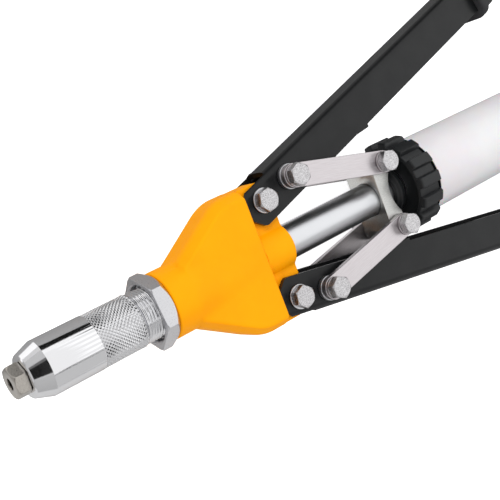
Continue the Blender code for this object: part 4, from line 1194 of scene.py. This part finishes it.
# %% Hidden works
for name in ("jaw_case", "jaw_1", "jaw_2", "jaw_3"):
    frame["nodes"][name].data.materials.clear()
    frame["nodes"][name].data.materials.append(hard_steel)
for name in ("jaw_pusher", "jaw_spring"):
    frame["nodes"][name].data.materials.clear()
    frame["nodes"][name].data.materials.append(bright_steel)
print("jaws, case, pusher and spring have their finishes")

# %% [markdown]
# ## Floor and light
# Metal shows the room, not the lamp: a chromed barrel is dark exactly where it mirrors something
# dark. A product photographer therefore lights with a few big soft boxes and then places cards
# around the tool. The cards here are seen by reflections only, so they shape the chrome without
# touching the soft light on the paint. The floor is the other way round: the camera sees it, and
# the cards stand in for it in every mirror. Two smaller lights, key and fill, light the paint, the
# plastic and the floor, and no mirror shows them. All places are in the tool's frame, in metres.

# %% Floor
def card(name, corners, value, glow=0.0, reflected_only=True):
    """A flat sheet from four corners in the tool's frame, with an even grey finish."""
    mesh = bpy.data.meshes.new(name)
    mesh.from_pydata([tuple(TOOL @ Vector(corner)) for corner in corners], [], [(0, 1, 2, 3)])
    made = bpy.data.objects.new(name, mesh)
    bpy.context.scene.collection.objects.link(made)
    finish = new_finish(
        name, (value, value, value), 0.9, 0.0,
        Specular_IOR_Level=0.0, Emission_Color=(1.0, 1.0, 1.0, 1.0), Emission_Strength=glow,
    )
    vary_color(finish, noise(finish, 4), (value * 0.99,) * 3, (value,) * 3)
    mesh.materials.append(finish)
    if reflected_only:
        made.visible_camera = False
        made.visible_diffuse = False
        made.visible_shadow = False
        made.visible_transmission = False
    made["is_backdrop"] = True
    return made


def flat(x0, x1, y0, y1, z):
    return [(x0, y0, z), (x1, y0, z), (x1, y1, z), (x0, y1, z)]


def upright(x0, x1, y, z0, z1):
    return [(x0, y, z0), (x1, y, z0), (x1, y, z1), (x0, y, z1)]


ground = -TOOL.translation.z - 0.0005
floor = card("floor", flat(-3, 3, -3, 3, ground), 0.93, glow=0.85, reflected_only=False)
floor.visible_glossy = False
floor.visible_diffuse = False

# %% Cards for the reflections
card("grey_ground", flat(-3, 3, 0, 3, ground + 0.0003), 0.34)
card("pale_ground", flat(-3, 3, -3, 0, ground + 0.0003), 0.60)
card("white_ground", flat(-0.08, 0.025, 0.045, 0.30, ground + 0.0006), 0.95)
# This card glows, so faces that look down, such as the crosshead's front, mirror a bright floor
# under the tool where the tool's shadow lies: painted light in their reflections.
card("painted_light_ground", flat(0.13, 0.26, -0.012, 0.03, ground + 0.0006), 0.5, glow=0.7)
# This card is a dark sheet under the tool that the lower links mirror: painted shade in their
# reflections.
card("painted_shade_ground", flat(0.12, 0.30, -0.10, -0.012, ground + 0.0006), 0.03)
card("black_flag", upright(0.06, 1.2, 0.30, ground, ground + 0.13), 0.01)
card("white_flag", upright(-0.4, 0.055, 0.30, ground, ground + 0.10), 0.95)
card("grey_flag", upright(-0.9, -0.02, -0.40, ground, 0.75), 0.5)
card("dark_strip", flat(-0.25, 1.95, -0.70, -0.64, 0.98), 0.02)
card("lens_card", flat(-0.7, -0.12, -0.17, 0.27, 0.45), 0.02)
card("lens_shade", flat(-0.7, -0.12, 0.27, 0.40, 0.45), 0.25)
print("floor and cards stand")


# %% Soft boxes and the room
def soft_box(name, center, size, facing, brightness):
    """An even rectangle of light; brightness is what a mirror shows of it."""
    light = bpy.data.lights.new(name, "AREA")
    light.shape = "RECTANGLE"
    light.size, light.size_y = size
    light.energy = brightness * math.pi * size[0] * size[1]
    holder = bpy.data.objects.new(name, light)
    bpy.context.scene.collection.objects.link(holder)
    aim = Vector(facing).to_track_quat("-Z", "Y").to_matrix().to_4x4()
    holder.matrix_world = Matrix.Translation(TOOL @ Vector(center)) @ aim
    return holder


soft_box("overhead", (0.25, 0.42, 1.0), (1.0, 2.16), (0, 0, -1), 0.40)
soft_box("back", (1.45, 0.42, 1.0), (1.4, 2.16), (0, 0, -1), 0.62)
soft_box("side", (1.1, 1.5, 0.72), (2.8, 0.56), (0, -1, 0), 0.5)
key = soft_box("key", (-0.35, 1.0, 0.9), (0.7, 0.7), (0.45, -1.0, -0.9), 6.0)
fill = soft_box("fill", (-0.25, -1.0, 0.55), (0.7, 0.7), (0.4, 1.0, -0.5), 2.2)
for light in (key, fill):
    light.visible_glossy = False
world = bpy.data.worlds.new("studio")
world.use_nodes = True
world.node_tree.nodes["Background"].inputs["Color"].default_value = (1.0, 1.0, 1.0, 1.0)
world.node_tree.nodes["Background"].inputs["Strength"].default_value = 0.6
bpy.context.scene.world = world
bpy.context.scene.view_settings.view_transform = "Standard"

# %% Sizes, and the last word
low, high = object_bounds()
print(len(dressed), "pieces dressed")
